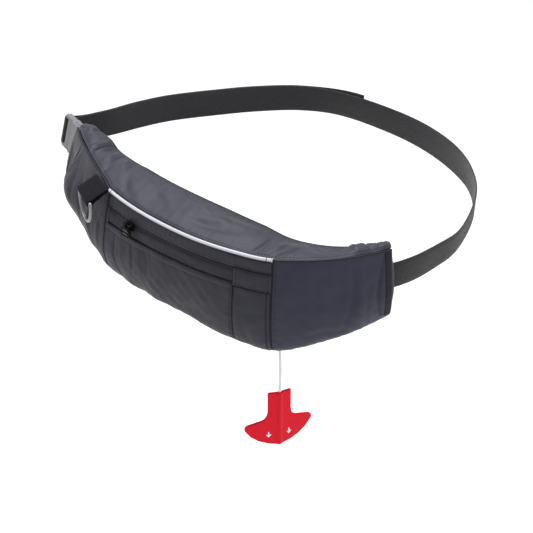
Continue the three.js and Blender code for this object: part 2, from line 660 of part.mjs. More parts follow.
const STRAND_SPREAD = 24;         // how far from the plug's bar the two strands come together
const TAIL_RISE_LENGTH = 60;
const tailEnd = BELT_END - TAIL_LENGTH;
const foldStations = [...steps(LEFT_END + FOLD_LENGTH, LEFT_END, 3)].map((at) => beltStation(at, LAYER));
const pouchStations = steps(LEFT_END, RIGHT_END, GUSSET_COLUMNS).map((at) => beltStation(at, 0));
const MAIN_STEP = 13;
const freeCount = Math.round((tailEnd - RIGHT_END) / MAIN_STEP);
const tailCount = Math.round((TAIL_LENGTH - STRAND_SPREAD) / MAIN_STEP);
const freeStations = steps(RIGHT_END, tailEnd, freeCount).slice(1).map((at) => beltStation(at, 0));
const tailPlaces = [...steps(tailEnd, BELT_END - STRAND_SPREAD, tailCount), ...steps(BELT_END - STRAND_SPREAD, BELT_END, 6).slice(1)];
const lastStations = tailPlaces.slice(1).map((at) => beltStation(at, 0));
const tailStations = [...tailPlaces].reverse().slice(1).map((at) => {
  const near = THREE.MathUtils.smoothstep(at, BELT_END - STRAND_SPREAD, BELT_END);
  const rise = TAIL_RISE * (1 - THREE.MathUtils.smoothstep(at, tailEnd, tailEnd + TAIL_RISE_LENGTH));
  return beltStation(at, THREE.MathUtils.lerp(LAYER, 2 * WRAP_RADIUS, near), rise);
});
add('belt_webbing', ribbon([
  ...foldStations,
  barStation(1),
  ...wrap(0, 90, -90, 6),
  barStation(-1),
  ...pouchStations,
  ...freeStations,
  ...lastStations,
  ...wrap(PLUG_BAR, 180, 0, 6),
  ...tailStations,
], WEBBING_WIDTH, WEBBING_THICK), 'webbing');

// Buckle. Its pieces are drawn flat, x along the belt and y across its width, then turned.
function plate(outline, thick, bevel, holes = []) {
  const shape = new THREE.Shape(outline.map(([x, y]) => new THREE.Vector2(x, y)));
  holes.forEach((hole) => shape.holes.push(new THREE.Path(hole.map(([x, y]) => new THREE.Vector2(x, y)))));
  const geometry = new THREE.ExtrudeGeometry(shape, {
    depth: thick - 2 * bevel, bevelEnabled: bevel > 0, bevelThickness: bevel, bevelSize: bevel,
    bevelOffset: -bevel, bevelSegments: 1, steps: 1,
  });
  geometry.translate(0, 0, bevel - thick / 2);
  return geometry;
}

function block(x0, x1, y0, y1, z0, z1) {
  const geometry = new THREE.BoxGeometry(x1 - x0, y1 - y0, z1 - z0);
  geometry.translate((x0 + x1) / 2, (y0 + y1) / 2, (z0 + z1) / 2);
  return geometry;
}

function rod(x, halfLength, radius) {
  const geometry = new THREE.CylinderGeometry(radius, radius, 2 * halfLength, 12);
  geometry.translate(x, 0, 0);
  return geometry;
}

function setOnBuckle(mesh) {
  mesh.quaternion.setFromRotationMatrix(new THREE.Matrix4().makeBasis(along, across, out.clone().negate()));
  mesh.position.copy(socketBar);
  return mesh;
}

const SLOT_HALF = WEBBING_WIDTH / 2 + 0.7;
const BUCKLE_HALF = SLOT_HALF + RAIL;
const CAVITY_HALF = BUCKLE_HALF - SOCKET_WALL;
const BODY_START = BAR_RADIUS + SLOT_LENGTH;
const CORNER = 3;
const socketOutline = [[-BAR_RADIUS + CORNER, -BUCKLE_HALF], [SOCKET_LENGTH, -BUCKLE_HALF], [SOCKET_LENGTH, BUCKLE_HALF],
  [-BAR_RADIUS + CORNER, BUCKLE_HALF], [-BAR_RADIUS, BUCKLE_HALF - CORNER], [-BAR_RADIUS, -BUCKLE_HALF + CORNER]];
const TONGUE_CAVITY = TONGUE_THICK + 2 * BUCKLE_GAP;
const WINDOW = [BODY_START + 6, SOCKET_LENGTH - 4];
const socketBody = cut(plate(socketOutline, SOCKET_THICK, 1.2),
  block(-2 * CORNER, BODY_START, -SLOT_HALF, SLOT_HALF, -SOCKET_THICK, SOCKET_THICK),
  block(BODY_START + SOCKET_WALL, SOCKET_LENGTH + 1, -CAVITY_HALF, CAVITY_HALF, -TONGUE_CAVITY / 2, TONGUE_CAVITY / 2),
  block(WINDOW[0], WINDOW[1], -BUCKLE_HALF - 1, BUCKLE_HALF + 1, -TONGUE_CAVITY / 2, TONGUE_CAVITY / 2));
setOnBuckle(add('buckle_socket', join(socketBody, rod(0, SLOT_HALF + 1, BAR_RADIUS)), 'buckle'));

const plugOutline = [[PLUG_START, -BUCKLE_HALF], [PLUG_BAR - CORNER + BAR_RADIUS, -BUCKLE_HALF],
  [PLUG_BAR + BAR_RADIUS, -BUCKLE_HALF + CORNER], [PLUG_BAR + BAR_RADIUS, BUCKLE_HALF - CORNER],
  [PLUG_BAR - CORNER + BAR_RADIUS, BUCKLE_HALF], [PLUG_START, BUCKLE_HALF]];
const plugBody = cut(plate(plugOutline, PLUG_THICK, 1),
  block(PLUG_START + PLUG_BODY, PLUG_BAR + 2 * CORNER, -SLOT_HALF, SLOT_HALF, -PLUG_THICK, PLUG_THICK));
const PRONG_END = PLUG_START - PRONG_REACH;
function prong(side) {
  const tip = BUCKLE_HALF + 0.6;
  const inner = CAVITY_HALF - 5.2;
  const outer = CAVITY_HALF - BUCKLE_GAP;
  const points = [[PLUG_START + 1, inner], [PLUG_START + 1, outer], [WINDOW[1] - BUCKLE_GAP, outer],
    [WINDOW[1] - BUCKLE_GAP - 1, tip], [WINDOW[0] + 4, tip], [WINDOW[0] + BUCKLE_GAP, outer],
    [PRONG_END, outer - 2], [PRONG_END, inner]];
  return plate(points.map(([x, y]) => [x, y * side]), TONGUE_THICK, 0);
}
const tongue = block(PRONG_END, PLUG_START + 1, -2.5, 2.5, -TONGUE_THICK / 2, TONGUE_THICK / 2);
const plug = join(plugBody, rod(PLUG_BAR, SLOT_HALF + 1, BAR_RADIUS), prong(1), prong(-1), tongue);
setOnBuckle(add('buckle_plug', plug, 'buckle'));

// D-ring tape and D-ring. The bar's middle, its way along the seam and the way out of the pouch.
const tapeAt = LEFT_SEAM - TAPE_FROM_SEAM;
const tapeSection = sectionAt(tapeAt);
const seamA = place(tapeAt - 8, sectionAt(tapeAt - 8).depth, sectionAt(tapeAt - 8).front);
const seamB = place(tapeAt + 8, sectionAt(tapeAt + 8).depth, sectionAt(tapeAt + 8).front);
const seamWay = seamB.clone().sub(seamA).normalize();
const seamOut = new THREE.Vector3(seamWay.y, -seamWay.x, 0).normalize();
const tapeOut = seamOut.clone().multiplyScalar(Math.cos(TAPE_SLOPE * DEGREE))
  .addScaledVector(UP, -Math.sin(TAPE_SLOPE * DEGREE));
const tapeUp = new THREE.Vector3().crossVectors(seamWay, tapeOut).normalize();
if (tapeUp.z < 0) tapeUp.negate();
const tapeRoot = place(tapeAt, tapeSection.depth, tapeSection.front).addScaledVector(seamOut, 2.1);
const tapeWrap = RING_WIRE + 0.2 + WEBBING_THICK / 2;
const barMiddle = tapeRoot.clone().addScaledVector(tapeOut, TAPE_REACH - tapeWrap);
const tapeStation = (x, y) => ({
  point: tapeRoot.clone().addScaledVector(tapeOut, x).addScaledVector(tapeUp, y),
  wide: seamWay.clone(),
});
const tapeTurn = steps(90, -90, 6).map((angle) => ({
  point: barMiddle.clone().addScaledVector(tapeOut, tapeWrap * Math.cos(angle * DEGREE))
    .addScaledVector(tapeUp, tapeWrap * Math.sin(angle * DEGREE)),
  wide: seamWay.clone(),
}));
const TAPE_HALF = LAYER / 2 + 0.1;
add('d_ring_tape', ribbon([
  tapeStation(0, TAPE_HALF), tapeStation(5, TAPE_HALF), tapeStation(11, TAPE_HALF + 0.7),
  ...tapeTurn,
  tapeStation(11, -TAPE_HALF - 0.7), tapeStation(5, -TAPE_HALF), tapeStation(0, -TAPE_HALF),
], WEBBING_WIDTH, WEBBING_THICK), 'webbing');

const ringHalf = WEBBING_WIDTH / 2 + 1 + RING_WIRE;
const ringDrop = RING_DEPTH - 2 * RING_WIRE;
const ringArm = 6;
const ringDown = UP.clone().negate().addScaledVector(seamWay, seamWay.z).normalize();
const ringOutline = [];
const ringCorner = 1.8;
steps(-ringHalf + ringCorner, ringHalf - ringCorner, 4).forEach((x) => ringOutline.push([x, 0]));
ringOutline.push([ringHalf - 0.5, 0.5], [ringHalf, ringCorner], [ringHalf, ringArm]);
steps(0, 180, 14).slice(1, -1).forEach((angle) => ringOutline.push(
  [ringHalf * Math.cos(angle * DEGREE), ringArm + (ringDrop - ringArm) * Math.sin(angle * DEGREE)]));
ringOutline.push([-ringHalf, ringArm], [-ringHalf, ringCorner], [-ringHalf + 0.5, 0.5]);
const ringNormal = new THREE.Vector3().crossVectors(seamWay, ringDown).normalize();
add('d_ring', wire(ringOutline.map(([x, y]) => barMiddle.clone().addScaledVector(seamWay, x)
  .addScaledVector(ringDown, y)), ringNormal, RING_WIRE, 8, true), 'steel');

// Zip slider and pull, drawn with x along the zip, y down the cloth and z out of it.
const sliderAt = LEFT_SEAM + SLIDER_FROM_SEAM;
const sliderDown = BAND_END + SEAM_GAP + SLIDER_WIDTH / 2;
const sliderSeat = skin('front', sliderAt, sliderDown, ZIP_SUNK);
const sliderOut = plainNormal('front', sliderAt, sliderDown);
const sliderAlong = pointOn(firstLine, sliderAt).tangent;
const sliderUp = new THREE.Vector3().crossVectors(sliderOut, sliderAlong).normalize();
const sliderWay = new THREE.Vector3().crossVectors(sliderUp, sliderOut).normalize();

function setOnZip(mesh) {
  mesh.quaternion.setFromRotationMatrix(new THREE.Matrix4().makeBasis(sliderWay, sliderUp, sliderOut));
  mesh.position.copy(sliderSeat);
  return mesh;
}

const SLIDER_LIFT = RUNNING_GAP;
const BRIDGE_HEIGHT = SLIDER_LIFT + SLIDER_THICK + 2 * RUNNING_GAP + 2 * EYE_WIRE + BRIDGE_RADIUS;
const sliderBody = block(-SLIDER_LENGTH / 2, SLIDER_LENGTH / 2, -SLIDER_WIDTH / 2, SLIDER_WIDTH / 2,
  SLIDER_LIFT, SLIDER_LIFT + SLIDER_THICK);
const footInner = SLIDER_LENGTH / 2 - 2 * BRIDGE_RADIUS;
const footLow = BRIDGE_UP - BRIDGE_RADIUS;
const footHigh = BRIDGE_UP + BRIDGE_RADIUS;
const leftFoot = block(-SLIDER_LENGTH / 2, -footInner, footLow, footHigh,
  SLIDER_LIFT + 1, BRIDGE_HEIGHT + BRIDGE_RADIUS * 0.9);
const rightFoot = block(footInner, SLIDER_LENGTH / 2, footLow, footHigh,
  SLIDER_LIFT + 1, BRIDGE_HEIGHT + BRIDGE_RADIUS * 0.9);
const bridge = new THREE.CylinderGeometry(BRIDGE_RADIUS, BRIDGE_RADIUS, SLIDER_LENGTH - 1, 8);
bridge.rotateZ(Math.PI / 2);
bridge.translate(0, BRIDGE_UP, BRIDGE_HEIGHT);
setOnZip(add('zip_slider', join(sliderBody, leftFoot, rightFoot, bridge), 'nylon'));

// The pull is a broad ring with three ribs, hung by its eye from the bridge.
const EYE_RADIUS = BRIDGE_RADIUS + RUNNING_GAP + EYE_WIRE;
function pullBody() {
  const eye = wire(steps(0, 330, 11).map((angle) => new THREE.Vector3(0,
    EYE_RADIUS * Math.cos(angle * DEGREE), BRIDGE_HEIGHT + EYE_RADIUS * Math.sin(angle * DEGREE))),
  new THREE.Vector3(1, 0, 0), EYE_WIRE, 6, true);
  const top = -EYE_RADIUS - 0.7;
  const half = PULL_WIDTH / 2 - PULL_WIRE;
  const low = -PULL_LENGTH + PULL_WIRE;
  const span = top - low;
  const right = [[1.8, 0], [0.68 * half, 0.1], [0.94 * half, 0.32], [half, 0.56], [0.88 * half, 0.82],
    [0.45 * half, 1]];
  const left = [...right].reverse().map(([x, share]) => [-x, share]);
  const ring = [...right, ...left].map(([x, share]) => [x, top - share * span]);
  const loop = wire(ring.map(([x, y]) => new THREE.Vector3(x, y, BRIDGE_HEIGHT)), UP, PULL_WIRE, 6, true);
  const rib = (share, halfWidth) => {
    const geometry = new THREE.CylinderGeometry(0.7, 0.7, 2 * halfWidth, 6);
    geometry.rotateZ(Math.PI / 2);
    geometry.translate(0, top - share * span, BRIDGE_HEIGHT);
    return geometry;
  };
  const neck = block(-1.2, 1.2, top - 0.4, -EYE_RADIUS, BRIDGE_HEIGHT - 0.7, BRIDGE_HEIGHT + 0.7);
  return join(loop, eye, neck, rib(0.27, 0.86 * half), rib(0.51, 0.97 * half), rib(0.75, 0.91 * half))
    .translate(0, BRIDGE_UP, 0);
}
setOnZip(add('zip_pull', pullBody(), 'nylon'));

// Pull cord, straight down from its hole in the underside.
const tabAcross = new THREE.Vector3(Math.cos(TAB_TURN * DEGREE), Math.sin(TAB_TURN * DEGREE), 0);
const tabOut = new THREE.Vector3(tabAcross.y, -tabAcross.x, 0);
const cordPath = new THREE.CatmullRomCurve3(CORD_ROUTE.map(({ across: x, out: y, down }) => cordMouth.clone()
  .addScaledVector(tabAcross, x).addScaledVector(tabOut, y).addScaledVector(UP, -down)));
const cordSection = new THREE.Shape(Array.from({ length: 8 }, (_, k) => new THREE.Vector2(
  CORD_RADIUS * Math.cos(k * Math.PI / 4), CORD_RADIUS * Math.sin(k * Math.PI / 4))));
add('pull_cord', new THREE.ExtrudeGeometry(cordSection, { extrudePath: cordPath, steps: 15 }), 'cord');

// Pull tab: two halves folded back from a rounded spine, with x across and y up.
function tabHalf(side) {
  const lobe = TAB_WIDTH / 2;
  const stem = TAB_STEM_WIDTH / 2;
  const shape = new THREE.Shape();
  shape.moveTo(0, 0);
  shape.lineTo(stem - 1, 0);
  shape.quadraticCurveTo(stem, 0, stem, -1);
  shape.lineTo(stem, -TAB_STEM_HEIGHT + 3);
  shape.quadraticCurveTo(stem + 0.8, -TAB_STEM_HEIGHT - 4.5, stem + 6, -TAB_STEM_HEIGHT - 6);
  shape.lineTo(lobe - 4.5, -TAB_STEM_HEIGHT - 9);
  shape.quadraticCurveTo(lobe + 0.8, -TAB_STEM_HEIGHT - 10.5, lobe - 0.6, -TAB_STEM_HEIGHT - 15.5);
  shape.quadraticCurveTo(lobe * 0.72, -TAB_HEIGHT + 3, 0, -TAB_HEIGHT);
  shape.lineTo(0, 0);
  const geometry = new THREE.ExtrudeGeometry(shape, { depth: TAB_THICK, bevelEnabled: false, curveSegments: 4 });
  geometry.translate(0, 0, -TAB_THICK / 2);
  if (side < 0) geometry.rotateY(Math.PI);
  geometry.rotateY(side * TAB_FOLD * DEGREE);
  return geometry;
}
const spine = new THREE.CylinderGeometry(TAB_SPINE_RADIUS, TAB_SPINE_RADIUS, TAB_HEIGHT - 1.2, 8);
spine.scale(1, 1, 0.8);
spine.translate(0, -TAB_HEIGHT / 2, 0);
const tab = add('pull_tab', join(tabHalf(1), tabHalf(-1), spine), 'tab');
const cordEnd = CORD_ROUTE[CORD_ROUTE.length - 1].down;
tab.quaternion.setFromRotationMatrix(new THREE.Matrix4().makeBasis(tabAcross, UP, tabOut));
tab.position.copy(cordMouth).addScaledVector(UP, -cordEnd - SEAM_GAP);

export default pack;
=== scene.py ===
# Looks of the inflatable belt pack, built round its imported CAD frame.
# Shapes are worked out in millimetres and set in metres. +Z is up, the pouch faces -Y.

import json
import math

import bpy
import numpy as np
from mathutils import Matrix, Vector
from mathutils.bvhtree import BVHTree


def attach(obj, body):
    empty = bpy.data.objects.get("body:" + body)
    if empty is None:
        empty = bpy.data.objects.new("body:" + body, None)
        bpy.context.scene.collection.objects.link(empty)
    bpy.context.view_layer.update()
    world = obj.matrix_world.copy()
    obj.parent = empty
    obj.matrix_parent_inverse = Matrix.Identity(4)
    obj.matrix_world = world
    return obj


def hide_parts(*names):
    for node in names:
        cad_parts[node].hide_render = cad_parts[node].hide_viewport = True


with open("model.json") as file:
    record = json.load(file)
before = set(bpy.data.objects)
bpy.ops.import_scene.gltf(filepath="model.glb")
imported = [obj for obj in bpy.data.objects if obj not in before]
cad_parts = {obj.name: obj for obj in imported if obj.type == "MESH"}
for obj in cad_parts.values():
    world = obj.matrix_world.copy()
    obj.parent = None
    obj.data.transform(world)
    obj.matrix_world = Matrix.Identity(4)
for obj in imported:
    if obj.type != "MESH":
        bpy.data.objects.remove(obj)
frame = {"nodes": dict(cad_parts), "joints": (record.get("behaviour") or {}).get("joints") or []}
NODES = frame["nodes"]
JOINTS = {joint["name"]: joint for joint in frame["joints"]}
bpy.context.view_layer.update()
MM = 0.001


def link(name, data):
    """An object for the data, set in the scene."""
    obj = bpy.data.objects.new(name, data)
    bpy.context.scene.collection.objects.link(obj)
    return obj


# Camera, as the photograph sees the pack

CAMERA_BACK = Vector((0.498, -0.674, 0.5457))      # from the waist's middle to the camera
CAMERA_RIGHT = Vector((0.804, 0.595, 0.0))
CAMERA_UP = Vector((-0.3246, 0.4386, 0.838))
CAMERA_DISTANCE = 1.667                            # metres
SENSOR_WIDTH = 36.0
FOCAL_PIXELS = 1868.0
FRAME_PIXELS = 533.0
WAIST_RIGHT_OF_CENTRE = 2.7                        # pixels
WAIST_ABOVE_CENTRE = 72.0

camera_data = bpy.data.cameras.new("camera")
camera_data.sensor_width = SENSOR_WIDTH
camera_data.lens = SENSOR_WIDTH * FOCAL_PIXELS / FRAME_PIXELS
camera = link("camera", camera_data)
forward = (-CAMERA_BACK * FOCAL_PIXELS - CAMERA_UP * WAIST_ABOVE_CENTRE
           - CAMERA_RIGHT * WAIST_RIGHT_OF_CENTRE).normalized()
camera_right = forward.cross(CAMERA_UP).normalized()
camera_up = camera_right.cross(forward)
turn = Matrix((camera_right, camera_up, -forward)).transposed().to_4x4()
camera.matrix_world = Matrix.Translation(CAMERA_BACK * CAMERA_DISTANCE) @ turn
bpy.context.scene.camera = camera


# Sizes, in millimetres and degrees, as the CAD part has them

WAIST_RADIUS = 162.0
MIDDLE_TURN = 275.0             # where the pouch's middle lies on the belt's line
WEBBING_WIDTH = 25.0
WEBBING_THICK = 1.5
LAYER_GAP = 0.4                 # between two layers of webbing
FOLD_LENGTH = 26.0              # sewn back at the socket
TAIL_LENGTH = 294.0
TAIL_RISE = 2.6
FRONT_WIDTH = 156.0
FRONT_SHIFT = -2.0
POCKET_SHORT = 28.0             # from the pocket's edge to the right seam
LEFT_WING = 109.0
RIGHT_WING = 82.0
POUCH_DEPTH = 45.0
TOP_HEIGHT = 39.0
DROP = 50.0
BULGE = 6.0
CLOTH = 2.0                     # a wall's thickness, padding and lining taken in
SEAM_GAP = 0.3
BACK_SET = 3.2
GUSSET_CROWN = 3.5
UNDERSIDE_SAG = 2.0
END_DOME = 4.0
BAND_END = 14.0                 # places down the front face
ZIP_END = 29.0
PATCH_END = 31.0
PATCH_PROUD = 0.9
ZIP_SUNK = 0.5
ZIP_RUN_IN = 4.0
PIPING_RADIUS = 2.0
PIPING_STRIP_MIDDLE = 0.95      # round the piping from its outermost line, up
PIPING_STRIP_HALF = 0.76        # radians of the piping that the silver strip covers each way
SLIDER_FROM_SEAM = 30.5
SLIDER_WIDTH = 6.6
RING_WIRE = 1.6
RING_DEPTH = 28.0
TAPE_REACH = 21.5
TAPE_SLOPE = 29.0
BUCKLE_TURN = 156.5
BUCKLE_LEAN = 14.0
STUB = 10.0                     # webbing between the pouch and the socket
STUB_OUT = 4.0
LEVEL_RUN = 45.0                # over which the belt turns level with the buckle
PLUG_RUN = 24.0                 # over which the tail comes down to the plug's bar
BAR_RADIUS = 1.6
SOCKET_LENGTH = 29.0
SLOT_LENGTH = 5.0
PLUG_BODY = 8.0
BUCKLE_GAP = 0.3
CORD_RADIUS = 1.2
CORD_HOLE_RADIUS = 2.2
TAB_TURN = 56.0

LEFT_SEAM = FRONT_SHIFT - FRONT_WIDTH / 2
RIGHT_SEAM = FRONT_SHIFT + FRONT_WIDTH / 2
POCKET_EDGE = RIGHT_SEAM - POCKET_SHORT
LEFT_END = LEFT_SEAM - LEFT_WING
RIGHT_END = RIGHT_SEAM + RIGHT_WING
LAYER = WEBBING_THICK + LAYER_GAP
WRAP_RADIUS = BAR_RADIUS + LAYER_GAP / 2 + WEBBING_THICK / 2
PLUG_BAR = SOCKET_LENGTH + BUCKLE_GAP + PLUG_BODY + SLOT_LENGTH + BAR_RADIUS
SETBACK = CLOTH + SEAM_GAP
HALF_GAP = SEAM_GAP / 2
SLIDER_AT = LEFT_SEAM + SLIDER_FROM_SEAM
SLIDER_DOWN = BAND_END + SEAM_GAP + SLIDER_WIDTH / 2

# The skin's finish: points on a span of the belt's line and on a face's outline, the front's
# lower edge as a share of its depth, and how far the back's lower edge stands above the front's
SPAN_STEPS = 24
OUTLINE_POINTS = 29
LOW_FRONT = 0.8
BACK_RISE = 2.0

# How the cloth rises and falls, in millimetres
STRETCH = {"front": 1.32, "top": 1.18, "under": 1.15, "back": 1.0}   # cloth to belt length
CLOTH_WAVES = ((1.3, 38, 0), (0.45, 13, 7))     # height, size across, added to the seed
CREASE_BOW = 0.10                               # share of a crease's length
PUCKER_HEIGHT, PUCKER_PITCH, PUCKER_REACH, PUCKER_UNEVEN = 0.30, 6.8, 4.5, 2.2
GROOVE_DEEP, GROOVE_HALF = 1.35, 1.25           # along each sewn edge
EDGE_CALM, EDGE_SINK = 3.5, 0.35
UNDER_PULL_WIDE, UNDER_PULL_TALL = 9.5, 10.0    # the pull presses the cloth flat here
UNDER_PULL_DOWN, UNDER_PULL_SINK = 7.0, 0.3

# The belt's middle line from above: turn in degrees, reach as a share of WAIST_RADIUS, and
# lean, the degrees that its top edge leans in.
BELT_ROWS = [
    (188.0, 1.194, 1), (193.6, 1.088, 1), (200.1, 0.986, 1), (207.6, 0.886, 1),
    (216.0, 0.793, 1), (225.6, 0.712, 1), (247.1, 0.603, 1), (273.3, 0.573, 1),
    (297.9, 0.632, 1), (317.6, 0.750, 1), (331.7, 0.870, 1), (344.3, 0.981, 1),
    (352.4, 1.022, 0), (362.7, 1.056, -4), (371.9, 1.094, -8), (391.4, 1.126, -3),
    (404.3, 1.131, -2), (416.6, 1.111, -10), (430.0, 1.083, -11), (444.0, 1.062, -7),
    (464.0, 1.073, -2), (476.4, 1.068, -8), (490.3, 1.045, -13), (503.7, 1.048, -16),
    (518.9, 1.105, -17), (528.3, 1.151, -18), (536.8, 1.205, -12),
]

# Cross sections of the pouch: at, then shares of depth, front, back, drop and bulge, then lean.
SECTION_COLUMNS = ("at", "depth", "front", "back", "drop", "bulge", "lean")
SECTION_ROWS = [
    (LEFT_END, 0.31, 0.83, 0.76, 0.60, 1.8, 1),
    (LEFT_SEAM - 0.67 * LEFT_WING, 0.53, 0.91, 0.93, 0.72, 2.3, 6),
    (LEFT_SEAM - LEFT_WING / 2, 0.64, 0.95, 0.87, 0.77, 2.4, 7),
    (LEFT_SEAM - 0.14 * LEFT_WING, 0.815, 0.985, 1.00, 0.90, 1.8, 3.5),
    (LEFT_SEAM, 0.91, 0.96, 1.06, 0.97, 1.5, 2),
    (0, 1.00, 0.98, 1.09, 1.01, 1.0, 0),
    (POCKET_EDGE, 0.99, 0.98, 0.97, 1.16, 1.1, 0),
    (RIGHT_SEAM, 0.94, 0.98, 0.80, 1.20, 1.0, 0),
    (RIGHT_SEAM + RIGHT_WING / 2, 0.63, 0.98, 0.77, 0.94, 1.0, 0),
    (RIGHT_END, 0.27, 0.88, 0.86, 0.66, 0.8, 2),
]

# Broad dents and puffs of each face: at (share of the way to that end), down (share of the
# face), half width (share of LEFT_WING), half height (share of the face), push (share of BULGE).
FOLD_ROWS = {
    "top": [
        (-0.90, 0.45, 0.10, 0.40, 0.80), (-0.76, 0.40, 0.06, 0.45, -0.60),
        (-0.50, 0.30, 0.12, 0.30, 0.30), (-0.20, 0.55, 0.16, 0.25, -0.28),
        (0.18, 0.45, 0.14, 0.28, -0.34), (0.66, 0.40, 0.10, 0.35, -0.40),
        (0.86, 0.40, 0.09, 0.40, 0.50),
    ],
    "front": [
        (-0.87, 0.30, 0.07, 0.22, -0.45), (-0.74, 0.40, 0.14, 0.20, 0.85),
        (-0.66, 0.80, 0.16, 0.22, -0.60), (0.05, 0.72, 0.20, 0.20, -0.25),
        (0.74, 0.62, 0.08, 0.40, -0.40), (0.86, 0.72, 0.07, 0.30, 0.40),
    ],
}

# Creases of the cloth, for looks only: from (at in mm, share down), to (at, share down), half
# width in mm, push in mm.
CREASE_ROWS = {
    "front": [
        (-66, 0.34, -61, 0.80, 1.8, -1.1), (-58, 0.32, -54, 0.74, 3.0, 0.5),
        (-49, 0.32, -47, 0.72, 1.8, -1.1), (-42, 0.34, -38, 0.70, 2.6, 0.3),
        (-34, 0.33, -31, 0.66, 2.0, -0.5), (-16, 0.84, 34, 0.78, 5.0, -0.4),
        (20, 0.42, 42, 0.74, 4.0, -0.4), (52, 0.55, 70, 0.48, 4.0, -0.6),
        (56, 0.62, 62, 0.85, 3.0, -0.5), (-153, 0.03, -158, 0.42, 1.4, -2.6),
        (-146, 0.05, -151, 0.50, 2.6, 1.2), (-176, 0.20, -166, 0.80, 2.4, -1.5),
        (-182, 0.12, -178, 0.60, 2.0, 0.9), (-141, 0.16, -132, 0.52, 2.4, -1.2),
        (-150, 0.62, -128, 0.92, 3.0, -1.3), (-126, 0.18, -118, 0.70, 2.8, -1.2),
        (-112, 0.12, -104, 0.60, 2.6, 0.9), (-99, 0.22, -93, 0.92, 2.4, -1.6),
        (-88, 0.30, -86, 0.85, 2.4, 0.9), (-114, 0.74, -92, 0.97, 2.8, 0.9),
        (84, 0.06, 92, 0.34, 3.4, -0.7), (104, 0.10, 112, 0.55, 5.0, -0.8),
        (128, 0.05, 122, 0.85, 2.6, -0.9), (135, 0.08, 131, 0.80, 2.6, 0.6),
        (142, 0.30, 139, 0.90, 2.4, -0.7), (152, 0.02, 151, 0.98, 1.5, -2.4),
        (92, 0.76, 126, 0.84, 3.4, -0.5),
    ],
    "top": [
        (-182, 0.05, -178, 0.95, 1.8, -1.8), (-142, -0.1, -135, 1.1, 1.5, -5.0),
        (-137, -0.1, -130, 0.95, 2.4, 2.2), (-148, -0.1, -141, 0.95, 2.8, 3.0),
        (-166, 0.0, -160, 0.80, 2.2, -2.1), (-130, 0.05, -112, 0.85, 2.4, 1.4),
        (-120, 0.02, -100, 0.98, 2.2, -2.1), (-112, 0.0, -95, 0.50, 2.0, 1.3),
        (-104, 0.0, -88, 0.45, 2.0, -1.7), (-84, 0.45, -56, 0.90, 4.0, -1.3),
        (-76, 0.02, -40, 0.36, 4.0, -1.3), (-52, 0.30, -22, 0.62, 5.0, 1.2),
        (-28, 0.10, -4, 0.26, 2.4, -2.1), (-20, 0.30, 8, 0.36, 2.6, 1.3),
        (0, 0.68, 40, 0.56, 3.4, -1.4), (6, 0.52, 40, 0.40, 3.4, 1.2),
        (26, 0.30, 54, 0.16, 2.6, -1.7), (56, 0.98, 66, 0.42, 2.2, -2.3),
        (64, 0.98, 78, 0.40, 2.6, 1.7), (74, 1.0, 90, 0.50, 1.8, -2.3),
        (90, 0.08, 122, 0.42, 3.4, -1.7), (104, 0.80, 126, 0.55, 3.0, -1.3),
        (126, 0.02, 134, 0.95, 2.4, 1.6), (138, 0.02, 146, 0.95, 2.0, -2.5),
        (150, 0.05, 153, 0.95, 1.8, 1.3),
    ],
    "under": [
        (-120, 0.5, 60, 0.45, 8.0, -0.7), (-60, 0.2, -20, 0.8, 5.0, -0.8),
    ],
}


# Colours and finishes

# Sizes of the patterns, in millimetres, and the share that the finer one has in each relief
CLOTH_PATCH, WEBBING_PATCH, PLASTIC_PATCH, CORD_PATCH, WIRE_PATCH = 14.0, 9.0, 8.0, 3.0, 5.0
SLUB_LENGTH, SLUB_SHARE = 2.2, 1.2
RIB_PITCH, PICK_PITCH, RIB_DEEP, PICK_SHARE = 1.7, 1.1, 0.14, 0.6
RIB_SLANT = 0.6                   # how far a rib runs on for each millimetre across
GRAIN_SIZE = 0.5
STRAND_PITCH, STRAND_DEEP = 1.3, 0.12
BEAD_SIZE, BEAD_DEEP = 0.6, 0.03
STRIP_GAP_FIRST, STRIP_GAP_LAST, STRIP_GAP_HALF = 3.4, 4.6, 0.35    # from the piping's ends
WEBBING_ROUGH, BRAID_ROUGH = 0.82, 0.6


def linear(code):
    """The linear colour of an sRGB hex code."""
    channels = [int(code[i:i + 2], 16) / 255 for i in (0, 2, 4)]
    return [c / 12.92 if c <= 0.04045 else ((c + 0.055) / 1.055) ** 2.4 for c in channels] + [1.0]


def set_inputs(tree, node, values):
    """Sets or links sockets. A node given as a value stands for its first output."""
    for key, value in values.items():
        if isinstance(value, bpy.types.Node):
            value = value.outputs[0]
        if isinstance(value, bpy.types.NodeSocket):
            tree.links.new(value, node.inputs[key])
        else:
            node.inputs[key].default_value = value


def add_node(tree, kind, values=None, **settings):
    node = tree.nodes.new(kind)
    for key, value in settings.items():
        setattr(node, key, value)
    set_inputs(tree, node, values or {})
    return node


def start_material(name, code, roughness, levels=None):
    """levels has the shader's other sockets."""
    material = bpy.data.materials.new(name)
    material.use_nodes = True
    tree = material.node_tree
    shader = tree.nodes["Principled BSDF"]
    set_inputs(tree, shader, {"Base Color": linear(code), "Roughness": roughness, **(levels or {})})
    return material, tree, shader


